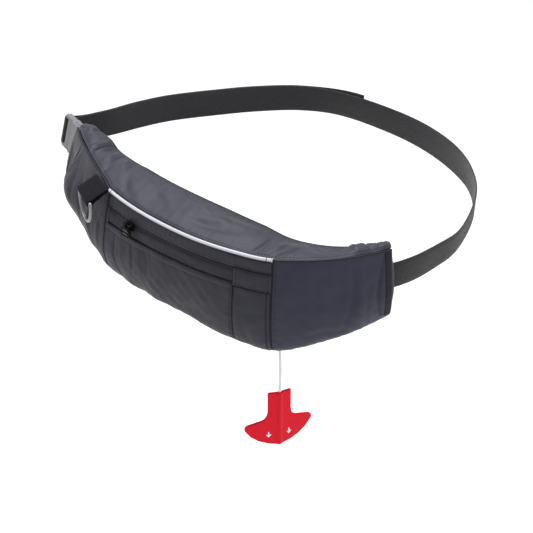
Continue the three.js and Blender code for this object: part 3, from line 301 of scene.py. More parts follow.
def mottle(tree, shader, code, roughness, amount, size_mm, rough_amount=0.05):
    """Small changes of shade and of roughness over the piece, from Object coordinates."""
    coords = add_node(tree, "ShaderNodeTexCoord").outputs["Object"]
    spots = add_node(tree, "ShaderNodeTexNoise",
                     {"Vector": coords, "Scale": 1 / (size_mm * MM), "Detail": 4.0})
    dark = [c * (1 - amount) for c in linear(code)[:3]] + [1.0]
    light = [min(c * (1 + amount), 1.0) for c in linear(code)[:3]] + [1.0]
    shade = add_node(tree, "ShaderNodeMix", {"Factor": spots, 6: dark, 7: light}, data_type="RGBA")
    rough = add_node(tree, "ShaderNodeMapRange",
                     {"Value": spots, "To Min": roughness - rough_amount,
                      "To Max": roughness + rough_amount})
    set_inputs(tree, shader, {"Base Color": shade.outputs[2], "Roughness": rough})
    return coords


def along_and_across(tree):
    """The piece's own UV map, in metres along the cloth and across it."""
    places = add_node(tree, "ShaderNodeTexCoord").outputs["UV"]
    return add_node(tree, "ShaderNodeSeparateXYZ", {0: places}).outputs[:2]


def wave(tree, value, pitch_mm):
    """A sine with one turn for each pitch."""
    turns = add_node(tree, "ShaderNodeMath", {0: value, 1: 2 * math.pi / (pitch_mm * MM)},
                     operation="MULTIPLY")
    return add_node(tree, "ShaderNodeMath", {0: turns}, operation="SINE")


def emboss(tree, shader, height, depth_mm, strength):
    """Low relief of the surface that the height gives."""
    bump = add_node(tree, "ShaderNodeBump",
                    {"Height": height, "Distance": depth_mm * MM, "Strength": strength})
    set_inputs(tree, shader, {"Normal": bump})


def cloth_material(name, code, roughness, thread_mm, depth_mm, sheen, amount=0.10):
    """Plain woven cloth with slubs in its thread."""
    material, tree, shader = start_material(
        name, code, roughness,
        {"Specular IOR Level": 0.28, "Sheen Weight": sheen, "Sheen Roughness": 0.45})
    coords = mottle(tree, shader, code, roughness, amount, CLOTH_PATCH, 0.06)
    along, across = along_and_across(tree)
    weave = add_node(tree, "ShaderNodeMath", {0: wave(tree, along, 2 * thread_mm),
                                              1: wave(tree, across, 2 * thread_mm)},
                     operation="MULTIPLY")
    slub = add_node(tree, "ShaderNodeTexNoise",
                    {"Vector": coords, "Scale": 1 / (SLUB_LENGTH * MM), "Detail": 3.0})
    height = add_node(tree, "ShaderNodeMath", {0: slub, 1: SLUB_SHARE, 2: weave},
                      operation="MULTIPLY_ADD")
    emboss(tree, shader, height, depth_mm, 0.7)
    return material


def webbing_material(name, code, sheen=0.25, specular=0.5):
    """Webbing with ribs across it that slant both ways from its middle."""
    material, tree, shader = start_material(
        name, code, WEBBING_ROUGH, {"Sheen Weight": sheen, "Specular IOR Level": specular})
    mottle(tree, shader, code, WEBBING_ROUGH, 0.12, WEBBING_PATCH)
    along, across = along_and_across(tree)
    from_middle = add_node(tree, "ShaderNodeMath", {0: across}, operation="ABSOLUTE")
    slant = add_node(tree, "ShaderNodeMath", {0: from_middle, 1: RIB_SLANT, 2: along},
                     operation="MULTIPLY_ADD")
    height = add_node(tree, "ShaderNodeMath",
                      {0: wave(tree, across, PICK_PITCH), 1: PICK_SHARE,
                       2: wave(tree, slant, RIB_PITCH)}, operation="MULTIPLY_ADD")
    emboss(tree, shader, height, RIB_DEEP, 0.8)
    return material


def moulded_material(name, code, roughness, grain_mm, specular=0.32):
    """Moulded plastic with a faint grain."""
    material, tree, shader = start_material(name, code, roughness,
                                            {"Specular IOR Level": specular})
    coords = mottle(tree, shader, code, roughness, 0.05, PLASTIC_PATCH)
    grain = add_node(tree, "ShaderNodeTexNoise",
                     {"Vector": coords, "Scale": 1 / (GRAIN_SIZE * MM), "Detail": 2.0})
    emboss(tree, shader, grain, grain_mm, 0.5)
    return material


def braid_material(name, code):
    """Braided cord: crossing spirals that follow the UV map."""
    material, tree, shader = start_material(name, code, BRAID_ROUGH, {"Sheen Weight": 0.3})
    mottle(tree, shader, code, BRAID_ROUGH, 0.05, CORD_PATCH)
    along, across = along_and_across(tree)
    one, other = (add_node(tree, "ShaderNodeMath", {0: along, 1: across}, operation=way)
                  for way in ("ADD", "SUBTRACT"))
    crossings = add_node(tree, "ShaderNodeMath", {0: wave(tree, one, STRAND_PITCH),
                                                  1: wave(tree, other, STRAND_PITCH)},
                         operation="MULTIPLY")
    emboss(tree, shader, crossings, STRAND_DEEP, 0.8)
    return material


def piping_material(name, code, dark, length_mm):
    """A silver strip on a dark sewn cord, set off by a dark gap near each end. The dark either side
    of the strip is partly the cord's colour and partly painted shade of the seams beside it.
    """
    material, tree, shader = start_material(name, code, 0.42)
    along, around = along_and_across(tree)
    from_strip = add_node(tree, "ShaderNodeMath", {0: around, 1: PIPING_STRIP_MIDDLE * MM},
                          operation="SUBTRACT")
    turn = add_node(tree, "ShaderNodeMath", {0: from_strip, 1: 1 / (PIPING_RADIUS * MM)},
                    operation="MULTIPLY")
    facing = add_node(tree, "ShaderNodeMath", {0: turn}, operation="COSINE")
    strip = add_node(tree, "ShaderNodeMath", {0: facing, 1: math.cos(PIPING_STRIP_HALF)},
                     operation="GREATER_THAN")
    for place_mm in (STRIP_GAP_FIRST, length_mm - STRIP_GAP_LAST):
        gap = add_node(tree, "ShaderNodeMath",
                       {0: along, 1: place_mm * MM, 2: STRIP_GAP_HALF * MM}, operation="COMPARE")
        strip = add_node(tree, "ShaderNodeMath", {0: strip, 1: gap}, operation="SUBTRACT")
    mask = add_node(tree, "ShaderNodeMath", {0: strip, 1: 0.0}, operation="MAXIMUM")
    coords = add_node(tree, "ShaderNodeTexCoord").outputs["Object"]
    beads = add_node(tree, "ShaderNodeTexNoise", {"Vector": coords, "Scale": 1 / (BEAD_SIZE * MM)})
    grey = add_node(tree, "ShaderNodeMapRange", {"Value": beads, "To Min": 0.82, "To Max": 1.0})
    silver = add_node(tree, "ShaderNodeMix",
                      {"Factor": grey, 6: (0.2, 0.2, 0.22, 1.0), 7: linear(code)},
                      data_type="RGBA")
    shade = add_node(tree, "ShaderNodeMix",
                     {"Factor": mask, 6: linear(dark), 7: silver.outputs[2]}, data_type="RGBA")
    set_inputs(tree, shader, {"Base Color": shade.outputs[2]})
    emboss(tree, shader, beads, BEAD_DEEP, 0.5)
    return material


# Coated woven polyester of the cover: near black and dull, faintly violet where it turns to
# the light. Its threads lie 0.36 mm apart, as in common pack cloth, and show as a fine grain.
FRONT_CLOTH = cloth_material("coated polyester, front", "33323b", 0.56, 0.36, 0.03, 0.08)
# The side and wing copies of this cloth are painted darker and bluer than the front: painted shade
# for the right of the pouch
PAINTED_SHADE_SIDE_CLOTH = cloth_material("coated polyester, side, painted shade", "2f2e3a", 0.56, 0.36, 0.03, 0.08)
PAINTED_SHADE_WING_CLOTH = cloth_material("coated polyester, wings, painted shade", "303142", 0.56, 0.36, 0.03, 0.08)
# The same cloth on the gusset, painted a shade paler for the light from above, and with larger
# random changes of tone
PAINTED_LIGHTER_GUSSET_CLOTH = cloth_material("coated polyester, gusset, painted lighter", "353541", 0.54, 0.36, 0.03, 0.12, 0.20)
# Woven polyester against the wearer: coarser, with no shine
BACK_CLOTH = cloth_material("woven polyester, back", "2c2c30", 0.80, 0.6, 0.08, 0.20)
# Woven tape of the zip: finer and flatter than the cover
ZIP_TAPE = cloth_material("woven zip tape", "2e2d35", 0.66, 0.30, 0.03, 0.08)
# Coated nylon of the bladder: smoother, with a little shine, seen only through the hole
BLADDER_CLOTH = cloth_material("coated nylon, bladder", "26282c", 0.50, 0.4, 0.03, 0.10)
# Spun thread: matt, a little darker than the cloth, and a near black one for the seams, which draws
# dark stitches and also the dark lines of painted shade along the seams
THREAD = cloth_material("sewing thread", "26262a", 0.60, 0.2, 0.03, 0.08)
DARK_THREAD_AND_SEAM_SHADE = cloth_material("sewing thread, dark, and painted seam shade", "141416", 0.70, 0.2, 0.03, 0.05)
# Woven binding, folded over the wing's end: dull, and painted darker than the cloth beside it, as
# the shade it lies in
SHADED_BINDING = cloth_material("sewn edge binding, painted shade", "201f29", 0.70, 0.4, 0.05, 0.05)
# Woven webbing: black, ribbed every 1.7 mm, with a soft bloom at a low angle; the D-ring's
# tape lies in shadow and shows none, and its copy is painted darker and bluer as that shade
WEBBING = webbing_material("polyester webbing", "1e1e22")
SHADED_TAPE_WEBBING = webbing_material("polyester webbing, tape, painted shade", "101018", 0.03, 0.2)
# Moulded acetal: mid grey, smooth, with broad soft highlights
ACETAL = moulded_material("moulded acetal, buckle", "808084", 0.38, 0.02)
# Moulded nylon: black with hardly a highlight, and a grey copy for the raised marks on the pull,
# whose grey is a painted highlight on the black nylon
NYLON = moulded_material("moulded nylon, zip", "060607", 0.50, 0.02, 0.16)
PULL_HIGHLIGHT_GREY = moulded_material("moulded nylon, painted highlight grey", "6e6e73", 0.45, 0.02)
# Moulded soft plastic: strong red, satin, its highlights too weak to wash the colour out
TAB_PLASTIC = moulded_material("red moulded plastic", "e40c28", 0.45, 0.015, 0.14)
# Screen print: flat opaque white
TAB_INK = moulded_material("white print", "f6f0f0", 0.5, 0.01)
# Braided polyester cord: white, with the crossing strands that catch light in turn
CORD_BRAID = braid_material("white braided cord", "fafaf8")
# Plated steel wire, scuffed: pale grey with blurred reflections
GREY_METAL, wire_tree, wire_shader = start_material("plated wire", "909092", 0.40,
                                                    {"Metallic": 0.6})
mottle(wire_tree, wire_shader, "909092", 0.40, 0.06, WIRE_PATCH)
# Plain pale floor, dull, lit evenly enough to fade into the background
FLOOR = start_material("floor, plain pale", "e8e8e8", 0.9, {
    "Emission Color": (1.0, 1.0, 1.0, 1.0), "Emission Strength": 0.30})[0]


# The belt's line and the pouch's skin

def centripetal(points, per_span=SPAN_STEPS):
    """A centripetal Catmull-Rom line through 3-D points."""
    p = np.asarray(points, float)
    p = np.vstack([2 * p[0] - p[1], p, 2 * p[-1] - p[-2]])
    fine = []
    for i in range(1, len(p) - 2):
        d0, d1, d2 = (max(np.sum((p[j + 1] - p[j]) ** 2) ** 0.25, 1e-4) for j in (i - 1, i, i + 1))
        t1, t2 = (((p[j] - p[j - 1]) / before - (p[j + 1] - p[j - 1]) / (before + after)
                   + (p[j + 1] - p[j]) / after) * d1
                  for j, before, after in ((i, d0, d1), (i + 1, d1, d2)))
        t = (np.arange(per_span) / per_span)[:, None]
        fine.append(p[i] + t1 * t + (-3 * p[i] + 3 * p[i + 1] - 2 * t1 - t2) * t ** 2
                    + (2 * p[i] - 2 * p[i + 1] + t1 + t2) * t ** 3)
    return np.vstack(fine + [p[-2][None]])


def unit(v):
    return v / np.maximum(np.linalg.norm(v, axis=-1, keepdims=True), 1e-9)


def run_along(points):
    """The length run at each point of a line."""
    return np.concatenate([[0], np.cumsum(np.linalg.norm(np.diff(points, axis=0), axis=1))])


class Line:
    """The belt's middle line, with its zero at the pouch's middle."""

    def __init__(self, points):
        self.fine = centripetal(points)
        turns = np.degrees(np.arctan2(self.fine[:, 1], self.fine[:, 0]))
        away = np.abs((turns - MIDDLE_TURN + 540) % 360 - 180)      # in degrees, either way
        self.places = run_along(self.fine)
        self.places -= self.places[int(np.argmin(away))]
        ahead = np.vstack([self.fine[1:], self.fine[-1:]])
        behind = np.vstack([self.fine[:1], self.fine[:-1]])
        self.tangents = unit(ahead - behind)

    def at(self, at):
        at = np.asarray(at, float)
        point, tangent = (np.stack([np.interp(at, self.places, values[:, k]) for k in range(3)], -1)
                          for values in (self.fine, self.tangents))
        tangent = unit(tangent)
        outward = unit(np.stack([tangent[..., 1], -tangent[..., 0], np.zeros_like(at)], -1))
        return point, tangent, outward


def column(places, values, at):
    """A value at each place, on a smooth curve through the rows of a table."""
    places, values, at = (np.asarray(x, float) for x in (places, values, at))
    i = np.clip(np.searchsorted(places, at, side="left") - 1, 0, len(places) - 2)
    row = np.arange(len(places))
    low, high = np.maximum(row - 1, 0), np.minimum(row + 1, len(places) - 1)
    slope = (values[high] - values[low]) / (places[high] - places[low])
    span = places[i + 1] - places[i]
    t = np.clip((at - places[i]) / span, 0, 1)
    return ((2 * t ** 3 - 3 * t ** 2 + 1) * values[i] + (t ** 3 - 2 * t ** 2 + t) * span * slope[i]
            + (3 * t ** 2 - 2 * t ** 3) * values[i + 1] + (t ** 3 - t ** 2) * span * slope[i + 1])


UP = np.array([0.0, 0.0, 1.0])


def level_way(degrees):
    return np.array([math.cos(math.radians(degrees)), math.sin(math.radians(degrees)), 0.0])


ALONG = level_way(BUCKLE_TURN)
BUCKLE_TILT = math.radians(BUCKLE_LEAN)
ACROSS = UP * math.cos(BUCKLE_TILT) - np.cross(UP, ALONG) * math.sin(BUCKLE_TILT)
OUT = np.cross(ACROSS, ALONG)

belt_points = [reach * WAIST_RADIUS * level_way(turn) for turn, reach, lean in BELT_ROWS]
first_line = Line(belt_points)
seat, _, seat_out = first_line.at(LEFT_END - STUB)
SOCKET_BAR = seat + seat_out * STUB_OUT


def on_buckle(x, y, z):
    return SOCKET_BAR + ALONG * x + OUT * y + ACROSS * z


belt_line = Line(belt_points + [on_buckle(PLUG_BAR - WRAP_RADIUS, y, 0) for y in (-9, -0.5)])
BELT_END = belt_line.places[-1]
LEAN_PLACES = belt_line.places[np.arange(len(BELT_ROWS)) * SPAN_STEPS]
SECTION_SCALE = {"depth": POUCH_DEPTH, "front": TOP_HEIGHT, "back": TOP_HEIGHT, "drop": -DROP,
                 "bulge": BULGE, "lean": math.pi / 180}


def section(at):
    columns = dict(zip(SECTION_COLUMNS, zip(*SECTION_ROWS)))
    return {key: scale * column(columns["at"], columns[key], at)
            for key, scale in SECTION_SCALE.items()}


def face_outline(face, at):
    """The face's outline at each place, as points (out from the belt, up), and their lengths."""
    s = section(at)
    depth, front, back, bottom, bulge = (s[k] for k in ("depth", "front", "back", "drop", "bulge"))
    low_front = LOW_FRONT * depth
    level = np.full_like(depth, -BACK_SET)

    def mix(share):
        return front + (bottom - front) * share

    rows = {
        "top": [(level, back),
                (0.18 * depth, back + 0.12 * (front - back) + GUSSET_CROWN * 0.8),
                (0.55 * depth, 0.45 * back + 0.55 * front + GUSSET_CROWN), (depth, front)],
        "front": [(depth, front), (depth + 0.7 * bulge, mix(0.34)), (depth + bulge, mix(0.65)),
                  (depth + 0.4 * bulge, mix(0.9)), (low_front, bottom)],
        "under": [(low_front, bottom), (0.4 * depth, bottom - UNDERSIDE_SAG),
                  (level, bottom + BACK_RISE)],
        "back": [(level, bottom + BACK_RISE), (level, back)],
    }[face]
    p = np.stack([np.stack(row, -1) for row in rows], 1)
    if len(rows) == 2:
        fine = p
    else:
        u = np.linspace(0, len(rows) - 1, OUTLINE_POINTS)
        i = np.minimum(u.astype(int), len(rows) - 2)
        t = (u - i)[None, :, None]
        p0, p1, p2, p3 = (p[:, np.clip(i + k, 0, len(rows) - 1)] for k in (-1, 0, 1, 2))
        v0, v1 = (p2 - p0) / 2, (p3 - p1) / 2
        fine = ((2 * p1 - 2 * p2 + v0 + v1) * t ** 3 + (-3 * p1 + 3 * p2 - 2 * v0 - v1) * t ** 2
                + v0 * t + p1)
    steps = np.linalg.norm(np.diff(fine, axis=1), axis=2)
    return fine, np.concatenate([np.zeros((len(fine), 1)), np.cumsum(steps, axis=1)], axis=1)


def face_length(face, at):
    return face_outline(face, np.atleast_1d(np.asarray(at, float)))[1][:, -1]


def place(at, n, z):
    """From a section's own plane to the pouch; at has one value a row of n and z."""
    point, _, outward = first_line.at(at)
    lean = section(at)["lean"]
    shape = (len(at),) + (1,) * (np.ndim(n) - 1)
    c, s = np.cos(lean).reshape(shape), np.sin(lean).reshape(shape)
    out, up = n * c - z * s, n * s + z * c
    spread = (slice(None),) + (None,) * (np.ndim(n) - 1)
    return point[spread] + outward[spread] * out[..., None] + UP * up[..., None]


def plain_points(face, at, down):
    fine, length = face_outline(face, at)
    n, z = (np.stack([np.interp(down[i], length[i], fine[i, :, k]) for i in range(len(at))])
            for k in (0, 1))
    return place(at, n, z)


def plain_normals(face, at, down, step=1.0):
    whole = face_length(face, at)[:, None]
    along = plain_points(face, at + step, down) - plain_points(face, at - step, down)
    over = (plain_points(face, at, np.minimum(down + step, whole))
            - plain_points(face, at, np.maximum(down - step, 0)))
    return -unit(np.cross(along, over))


def fold_push(face, at, down):
    """How far the broad dents and puffs move the cloth out."""
    share = down / face_length(face, at)[:, None]
    total = np.zeros_like(share)
    for row_at, row_down, wide, tall, push in FOLD_ROWS.get(face, []):
        end = -LEFT_END if row_at < 0 else RIGHT_END
        a = (at[:, None] - row_at * end) / (wide * LEFT_WING)
        total += push * BULGE * np.exp(-a ** 2 - ((share - row_down) / tall) ** 2)
    return total * np.sin(np.pi * np.clip(share, 0, 1))


def ridge(distance, height, half):
    """A smooth ridge seen across, or a groove where its height is below nought."""
    return height * np.exp(-(distance / half) ** 2)


def ripple(x, y, size, seed, waves=9):
    """Smooth uneven waves about that size across, between -1 and 1."""
    rng = np.random.default_rng(seed)
    total = np.zeros(np.broadcast(x, y).shape)
    for _ in range(waves):
        angle, phase = rng.uniform(0, 2 * math.pi, 2)
        k = 2 * math.pi / (size * rng.uniform(0.7, 1.6))
        total = total + np.sin(k * (x * math.cos(angle) + y * math.sin(angle)) + phase)
    return total / waves


def creases(face, at, down):
    """How far the narrow creases move the cloth out."""
    whole = face_length(face, at)[:, None]
    x, y = at[:, None] * STRETCH[face], down
    total = np.zeros_like(down)
    for at0, share0, at1, share1, half, push in CREASE_ROWS.get(face, []):
        ax, bx = at0 * STRETCH[face], at1 * STRETCH[face]
        ay, by = share0 * whole, share1 * whole
        dx, dy = bx - ax, by - ay
        t = np.clip(((x - ax) * dx + (y - ay) * dy) / (dx ** 2 + dy ** 2), 0, 1)
        bow = CREASE_BOW * np.hypot(dx, dy) * np.sin(np.pi * t) * math.sin(at0 * 1.7)
        length = np.maximum(np.hypot(dx, dy), 1e-6)
        gap = np.hypot(x - ax - t * dx + bow * dy / length, y - ay - t * dy - bow * dx / length)
        total += ridge(gap, push, half) * np.sin(np.pi * (0.08 + 0.84 * t)) ** 0.7
    return total


class Panel:
    """One cloth panel of the cover: where it lies on a face, and how its surface rises and falls.

    top and bottom are places down the face. A bottom of nought or less is measured from the
    face's lower edge. sewn names the sides that are sewn: left, right, top, bottom.
    """

    def __init__(self, name, face, ends, top, bottom, seed, proud=0.0, wall=CLOTH, sewn="lrtb",
                 relief=None):
        self.name, self.face, self.ends, self.top, self.bottom = name, face, ends, top, bottom
        self.seed, self.proud, self.wall, self.sewn, self.relief = seed, proud, wall, sewn, relief

    def edges(self, at):
        top = np.full_like(at, self.top)
        if self.bottom > 0:
            return top, np.full_like(at, self.bottom)
        return top, face_length(self.face, at) + self.bottom

    def lift(self, at, down):
        stretch = STRETCH[self.face]
        first, last = (edge[:, None] for edge in self.edges(at))
        x = at[:, None] * stretch
        distance = {"l": x - self.ends[0] * stretch, "r": self.ends[1] * stretch - x,
                    "t": down - first, "b": last - down}
        folds = fold_push(self.face, at, down)
        total = folds + creases(self.face, at, down)
        for height, size, extra_seed in CLOTH_WAVES:
            total = total + height * ripple(x, down, size, self.seed + extra_seed)
        calm = np.ones_like(down)
        for side, gap in distance.items():
            gap = np.maximum(gap, 0)
            if side in self.sewn:
                run = down if side in "lr" else x
                uneven = PUCKER_UNEVEN * ripple(run, 0 * run, 25, self.seed + 3)
                pucker = np.sin(run * 2 * math.pi / PUCKER_PITCH + uneven)
                near_edge = np.exp(-gap / PUCKER_REACH) * (1 - np.exp(-gap / 0.8))
                total = total + PUCKER_HEIGHT * pucker * near_edge
                total = total + ridge(gap, -GROOVE_DEEP, GROOVE_HALF)
            calm = calm * (1 - 0.8 * np.exp(-gap / EDGE_CALM))
        total = total * calm + (1 - calm) * (folds - EDGE_SINK)
        if self.face == "front":
            from_slider = (down - SLIDER_DOWN - UNDER_PULL_DOWN) / UNDER_PULL_TALL
            under_pull = np.exp(-((at[:, None] - SLIDER_AT) / UNDER_PULL_WIDE) ** 4
                                - from_slider ** 4)
            total = total + under_pull * (folds - UNDER_PULL_SINK - total)
        if self.relief is not None:
            total = total + self.relief(at, down)
        return total + self.proud

    def points(self, at, down, above=0.0):
        """Points on the panel's outside, for pairs of places."""
        at, down = np.asarray(at, float), np.asarray(down, float)[:, None]
        base = plain_points(self.face, at, down)
        normal = plain_normals(self.face, at, down)
        return (base + normal * (self.lift(at, down) + above)[..., None])[:, 0]

    def shell(self, material, step=1.6):
        stretch = STRETCH[self.face]
        columns = max(int((self.ends[1] - self.ends[0]) * stretch / step), 2)
        at = np.linspace(*self.ends, columns + 1)
        first, last = self.edges(at)
        rows = max(int((last - first).max() / step), 2)
        down = first[:, None] + (last - first)[:, None] * np.linspace(0, 1, rows + 1)
        base = plain_points(self.face, at, down)
        normal = plain_normals(self.face, at, down)
        inside = fold_push(self.face, at, down) + self.proud - self.wall
        uv = np.stack([np.broadcast_to(at[:, None] * stretch, down.shape), down], -1) * MM
        return shell_object(self.name, base + normal * self.lift(at, down)[..., None],
                            base + normal * inside[..., None], uv, material)


# Meshes

def new_object(name, points, faces, material, uv=None, smooth=True):
    """uv has one pair a corner, in the order of the faces."""
    mesh = bpy.data.meshes.new(name)
    mesh.from_pydata((np.asarray(points) * MM).tolist(), [], faces)
    if uv is not None:
        layer = mesh.uv_layers.new(name="cloth")
        layer.data.foreach_set("uv", np.asarray(uv, np.float32).ravel())
    mesh.materials.append(material)
    mesh.polygons.foreach_set("use_smooth", [smooth] * len(mesh.polygons))
    mesh.update()
    mesh.validate()
    return link(name, mesh)


def shell_object(name, outer, inner, uv, material):
    """A closed wall between two grids of points, with a rim round its edge."""
    rows, columns = outer.shape[:2]
    points = np.vstack([outer.reshape(-1, 3), inner.reshape(-1, 3)])
    far = rows * columns
    index = np.arange(far).reshape(rows, columns)
    a, b, c, d = index[:-1, :-1], index[1:, :-1], index[1:, 1:], index[:-1, 1:]
    out_faces = np.stack([a, d, c, b], -1).reshape(-1, 4)
    in_faces = np.stack([a, b, c, d], -1).reshape(-1, 4) + far
    rim = np.concatenate([index[:-1, 0], index[-1, :-1], index[:0:-1, -1], index[0, :0:-1]])
    after = np.roll(rim, -1)
    rim_faces = np.stack([rim, after, after + far, rim + far], -1)
    faces = np.vstack([out_faces, in_faces, rim_faces])
    corner = points[out_faces[0]]
    normal = np.cross(corner[2] - corner[0], corner[3] - corner[1])
    if np.dot(normal, corner[0] - points[out_faces[0, 0] + far]) < 0:
        faces = faces[:, ::-1]
    flat = np.vstack([uv.reshape(-1, 2), uv.reshape(-1, 2)])
    return new_object(name, points, faces.tolist(), material, flat[faces.ravel()])


def tube_object(name, rings, material, closed=False):
    """A body through rings of points. rings has shape (stations, points round, 3)."""
    rings = np.asarray(rings, float)
    count, around = rings.shape[:2]
    index = np.arange(count * around).reshape(count, around)
    here, ahead = (index, np.roll(index, -1, axis=0)) if closed else (index[:-1], index[1:])
    faces = np.stack([here, ahead, np.roll(ahead, -1, axis=1), np.roll(here, -1, axis=1)], -1)
    faces = faces.reshape(-1, 4).tolist()
    run = run_along(rings.mean(1))
    round_run = run_along(np.vstack([rings[0], rings[0][:1]]))
    start, end = (run, run + np.gradient(run)) if closed else (run[:-1], run[1:])
    start, end = (np.repeat(values[:, None], around, 1) for values in (start, end))
    v0, v1 = (np.broadcast_to(values, start.shape) for values in (round_run[:-1], round_run[1:]))
    corners = ((start, v0), (end, v0), (end, v1), (start, v1))
    uv = np.stack([np.stack(corner, -1) for corner in corners], 2).reshape(-1, 2)
    if not closed:
        faces += [index[0].tolist(), index[-1][::-1].tolist()]
        uv = np.vstack([uv, np.zeros((2 * around, 2))])
    points = rings.reshape(-1, 3)
    volume = sum(np.dot(points[face[0]], np.cross(points[face[i]], points[face[i + 1]]))
                 for face in faces for i in range(1, len(face) - 1))
    if volume < 0:
        sizes = [len(face) for face in faces]
        starts = np.cumsum([0] + sizes[:-1])
        uv = np.vstack([uv[s:s + k][::-1] for s, k in zip(starts, sizes)])
        faces = [face[::-1] for face in faces]
    return new_object(name, points, faces, material, uv * MM)


def circles(centres, one, other, radius, around):
    """A ring of points about each centre, in the plane of two unit vectors."""
    angles = 2 * np.pi * (np.arange(around) + 0.5) / around
    return centres[:, None] + radius * (one[:, None] * np.cos(angles)[None, :, None]
                                        + other[:, None] * np.sin(angles)[None, :, None])


def wire_rings(points, plane_normal, radius, around, closed=False):
    points = np.asarray(points, float)
    if closed:
        tangents = unit(np.roll(points, -1, 0) - np.roll(points, 1, 0))
    else:
        tangents = unit(np.gradient(points, axis=0))
    side = unit(np.cross(np.broadcast_to(plane_normal, points.shape), tangents))
    return circles(points, side, unit(np.cross(tangents, side)), radius, around)


# A webbing's section: half width and half thickness as shares, with rounded edges
WEBBING_EDGE = [(1.0, 0.35), (0.985, 0.8), (0.95, 1.0)]
WEBBING_TOP = WEBBING_EDGE + [(0.5, 1.0), (0.0, 1.0), (-0.5, 1.0)] + [
    (-x, y) for x, y in reversed(WEBBING_EDGE)]
SECTION_OF_WEBBING = np.array(WEBBING_TOP + [(-x, -y) for x, y in WEBBING_TOP])


def ribbon_object(name, points, wides, material, width=WEBBING_WIDTH, thick=WEBBING_THICK):
    """A flat band of webbing, its UV map running along it and across from its middle."""
    points, wides = np.asarray(points, float), np.asarray(wides, float)
    tangents = unit(np.gradient(points, axis=0))
    side = unit(wides - tangents * np.sum(wides * tangents, axis=1, keepdims=True))
    face = np.cross(side, tangents)
    shape = SECTION_OF_WEBBING
    rings = (points[:, None] + side[:, None] * shape[None, :, :1] * width / 2
             + face[:, None] * shape[None, :, 1:] * thick / 2)
    obj = tube_object(name, rings, material)
    across = np.tile(shape[:, 0] * width / 2, len(points))
    down = np.repeat(run_along(points), len(shape))
    corners = np.zeros(len(obj.data.loops), int)
    obj.data.loops.foreach_get("vertex_index", corners)
    uv = (np.stack([down[corners], across[corners]], -1) * MM).astype(np.float32)
    obj.data.uv_layers["cloth"].data.foreach_set("uv", uv.ravel())
    return obj


def finished_mesh(obj):
    """A plain mesh of the object with its modifiers worked in."""
    bpy.context.view_layer.update()
    graph = bpy.context.evaluated_depsgraph_get()
    return bpy.data.meshes.new_from_object(obj.evaluated_get(graph))


def apply_modifiers(obj):
    done, old = finished_mesh(obj), obj.data
    obj.modifiers.clear()
    obj.data = done
    bpy.data.meshes.remove(old)
    obj.data.polygons.foreach_set("use_smooth", [True] * len(obj.data.polygons))


def refined(node, name, material, modifiers):
    """A copy of a CAD node's mesh, finished by modifiers, to show in its place."""
    mesh = NODES[node].data.copy()
    mesh.name = name
    mesh.materials.clear()
    mesh.materials.append(material)
    obj = link(name, mesh)
    for kind, settings in modifiers.items():
        modifier = obj.modifiers.new(kind.lower(), kind)
        for key, value in settings.items():
            setattr(modifier, key, value)
    apply_modifiers(obj)
    return obj


def moulded(node, name, material, voxel_mm, rounds):
    """The node's shape with every edge rounded as a moulding's is."""
    return refined(node, name, material, {"REMESH": {"mode": "VOXEL", "voxel_size": voxel_mm * MM},
                                          "SMOOTH": {"factor": 0.5, "iterations": rounds}})


def bevelled(node, name, material, width_mm):
    """The node's shape with its sharp edges narrowly rounded."""
    obj = refined(node, name, material, {
        "WELD": {"merge_threshold": 0.01 * MM},
        "BEVEL": {"width": width_mm * MM, "segments": 3, "limit_method": "ANGLE",
                  "angle_limit": math.radians(40)}})
    obj.data.set_sharp_from_angle(angle=math.radians(35))
    return obj


def show(obj, body="pack"):
    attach(obj, body)


def stand_for(obj, node, body="pack"):
    show(obj, body)
    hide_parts(node)
    return obj


# Repeats made with Geometry Nodes

def stitch_tree():
    """Small rounded stitches laid end to end along a line."""
    tree = bpy.data.node_groups.new("stitch_row", "GeometryNodeTree")
    face = tree.interface
    face.new_socket(name="Line", in_out="INPUT", socket_type="NodeSocketGeometry")
    for name, size_mm in (("Pitch", 3.0), ("Half Length", 1.1), ("Radius", 0.3)):
        size = face.new_socket(name=name, in_out="INPUT", socket_type="NodeSocketFloat")
        size.default_value = size_mm * MM
    face.new_socket(name="Thread", in_out="INPUT", socket_type="NodeSocketMaterial")
    face.new_socket(name="Stitches", in_out="OUTPUT", socket_type="NodeSocketGeometry")
    inputs = add_node(tree, "NodeGroupInput").outputs
    curve = add_node(tree, "GeometryNodeMeshToCurve", {"Mesh": inputs["Line"]})
    spaced = add_node(tree, "GeometryNodeResampleCurve",
                      {"Curve": curve, "Length": inputs["Pitch"]}, mode="LENGTH")
    aligned = add_node(tree, "FunctionNodeAlignRotationToVector",
                       {"Vector": add_node(tree, "GeometryNodeInputTangent")}, axis="Z")
    bead = add_node(tree, "GeometryNodeMeshUVSphere", {"Segments": 6, "Rings": 5, "Radius": 1.0})
    scale = add_node(tree, "ShaderNodeCombineXYZ", {0: inputs["Radius"], 1: inputs["Radius"],
                                                    2: inputs["Half Length"]})
    copies = add_node(tree, "GeometryNodeInstanceOnPoints",
                      {"Points": spaced, "Instance": bead, "Rotation": aligned, "Scale": scale})
    solid = add_node(tree, "GeometryNodeRealizeInstances", {"Geometry": copies})
    smooth = add_node(tree, "GeometryNodeSetShadeSmooth", {"Geometry": solid})
    painted = add_node(tree, "GeometryNodeSetMaterial",
                       {"Geometry": smooth, "Material": inputs["Thread"]})
    add_node(tree, "NodeGroupOutput", {"Stitches": painted})
    return tree


STITCHES = stitch_tree()


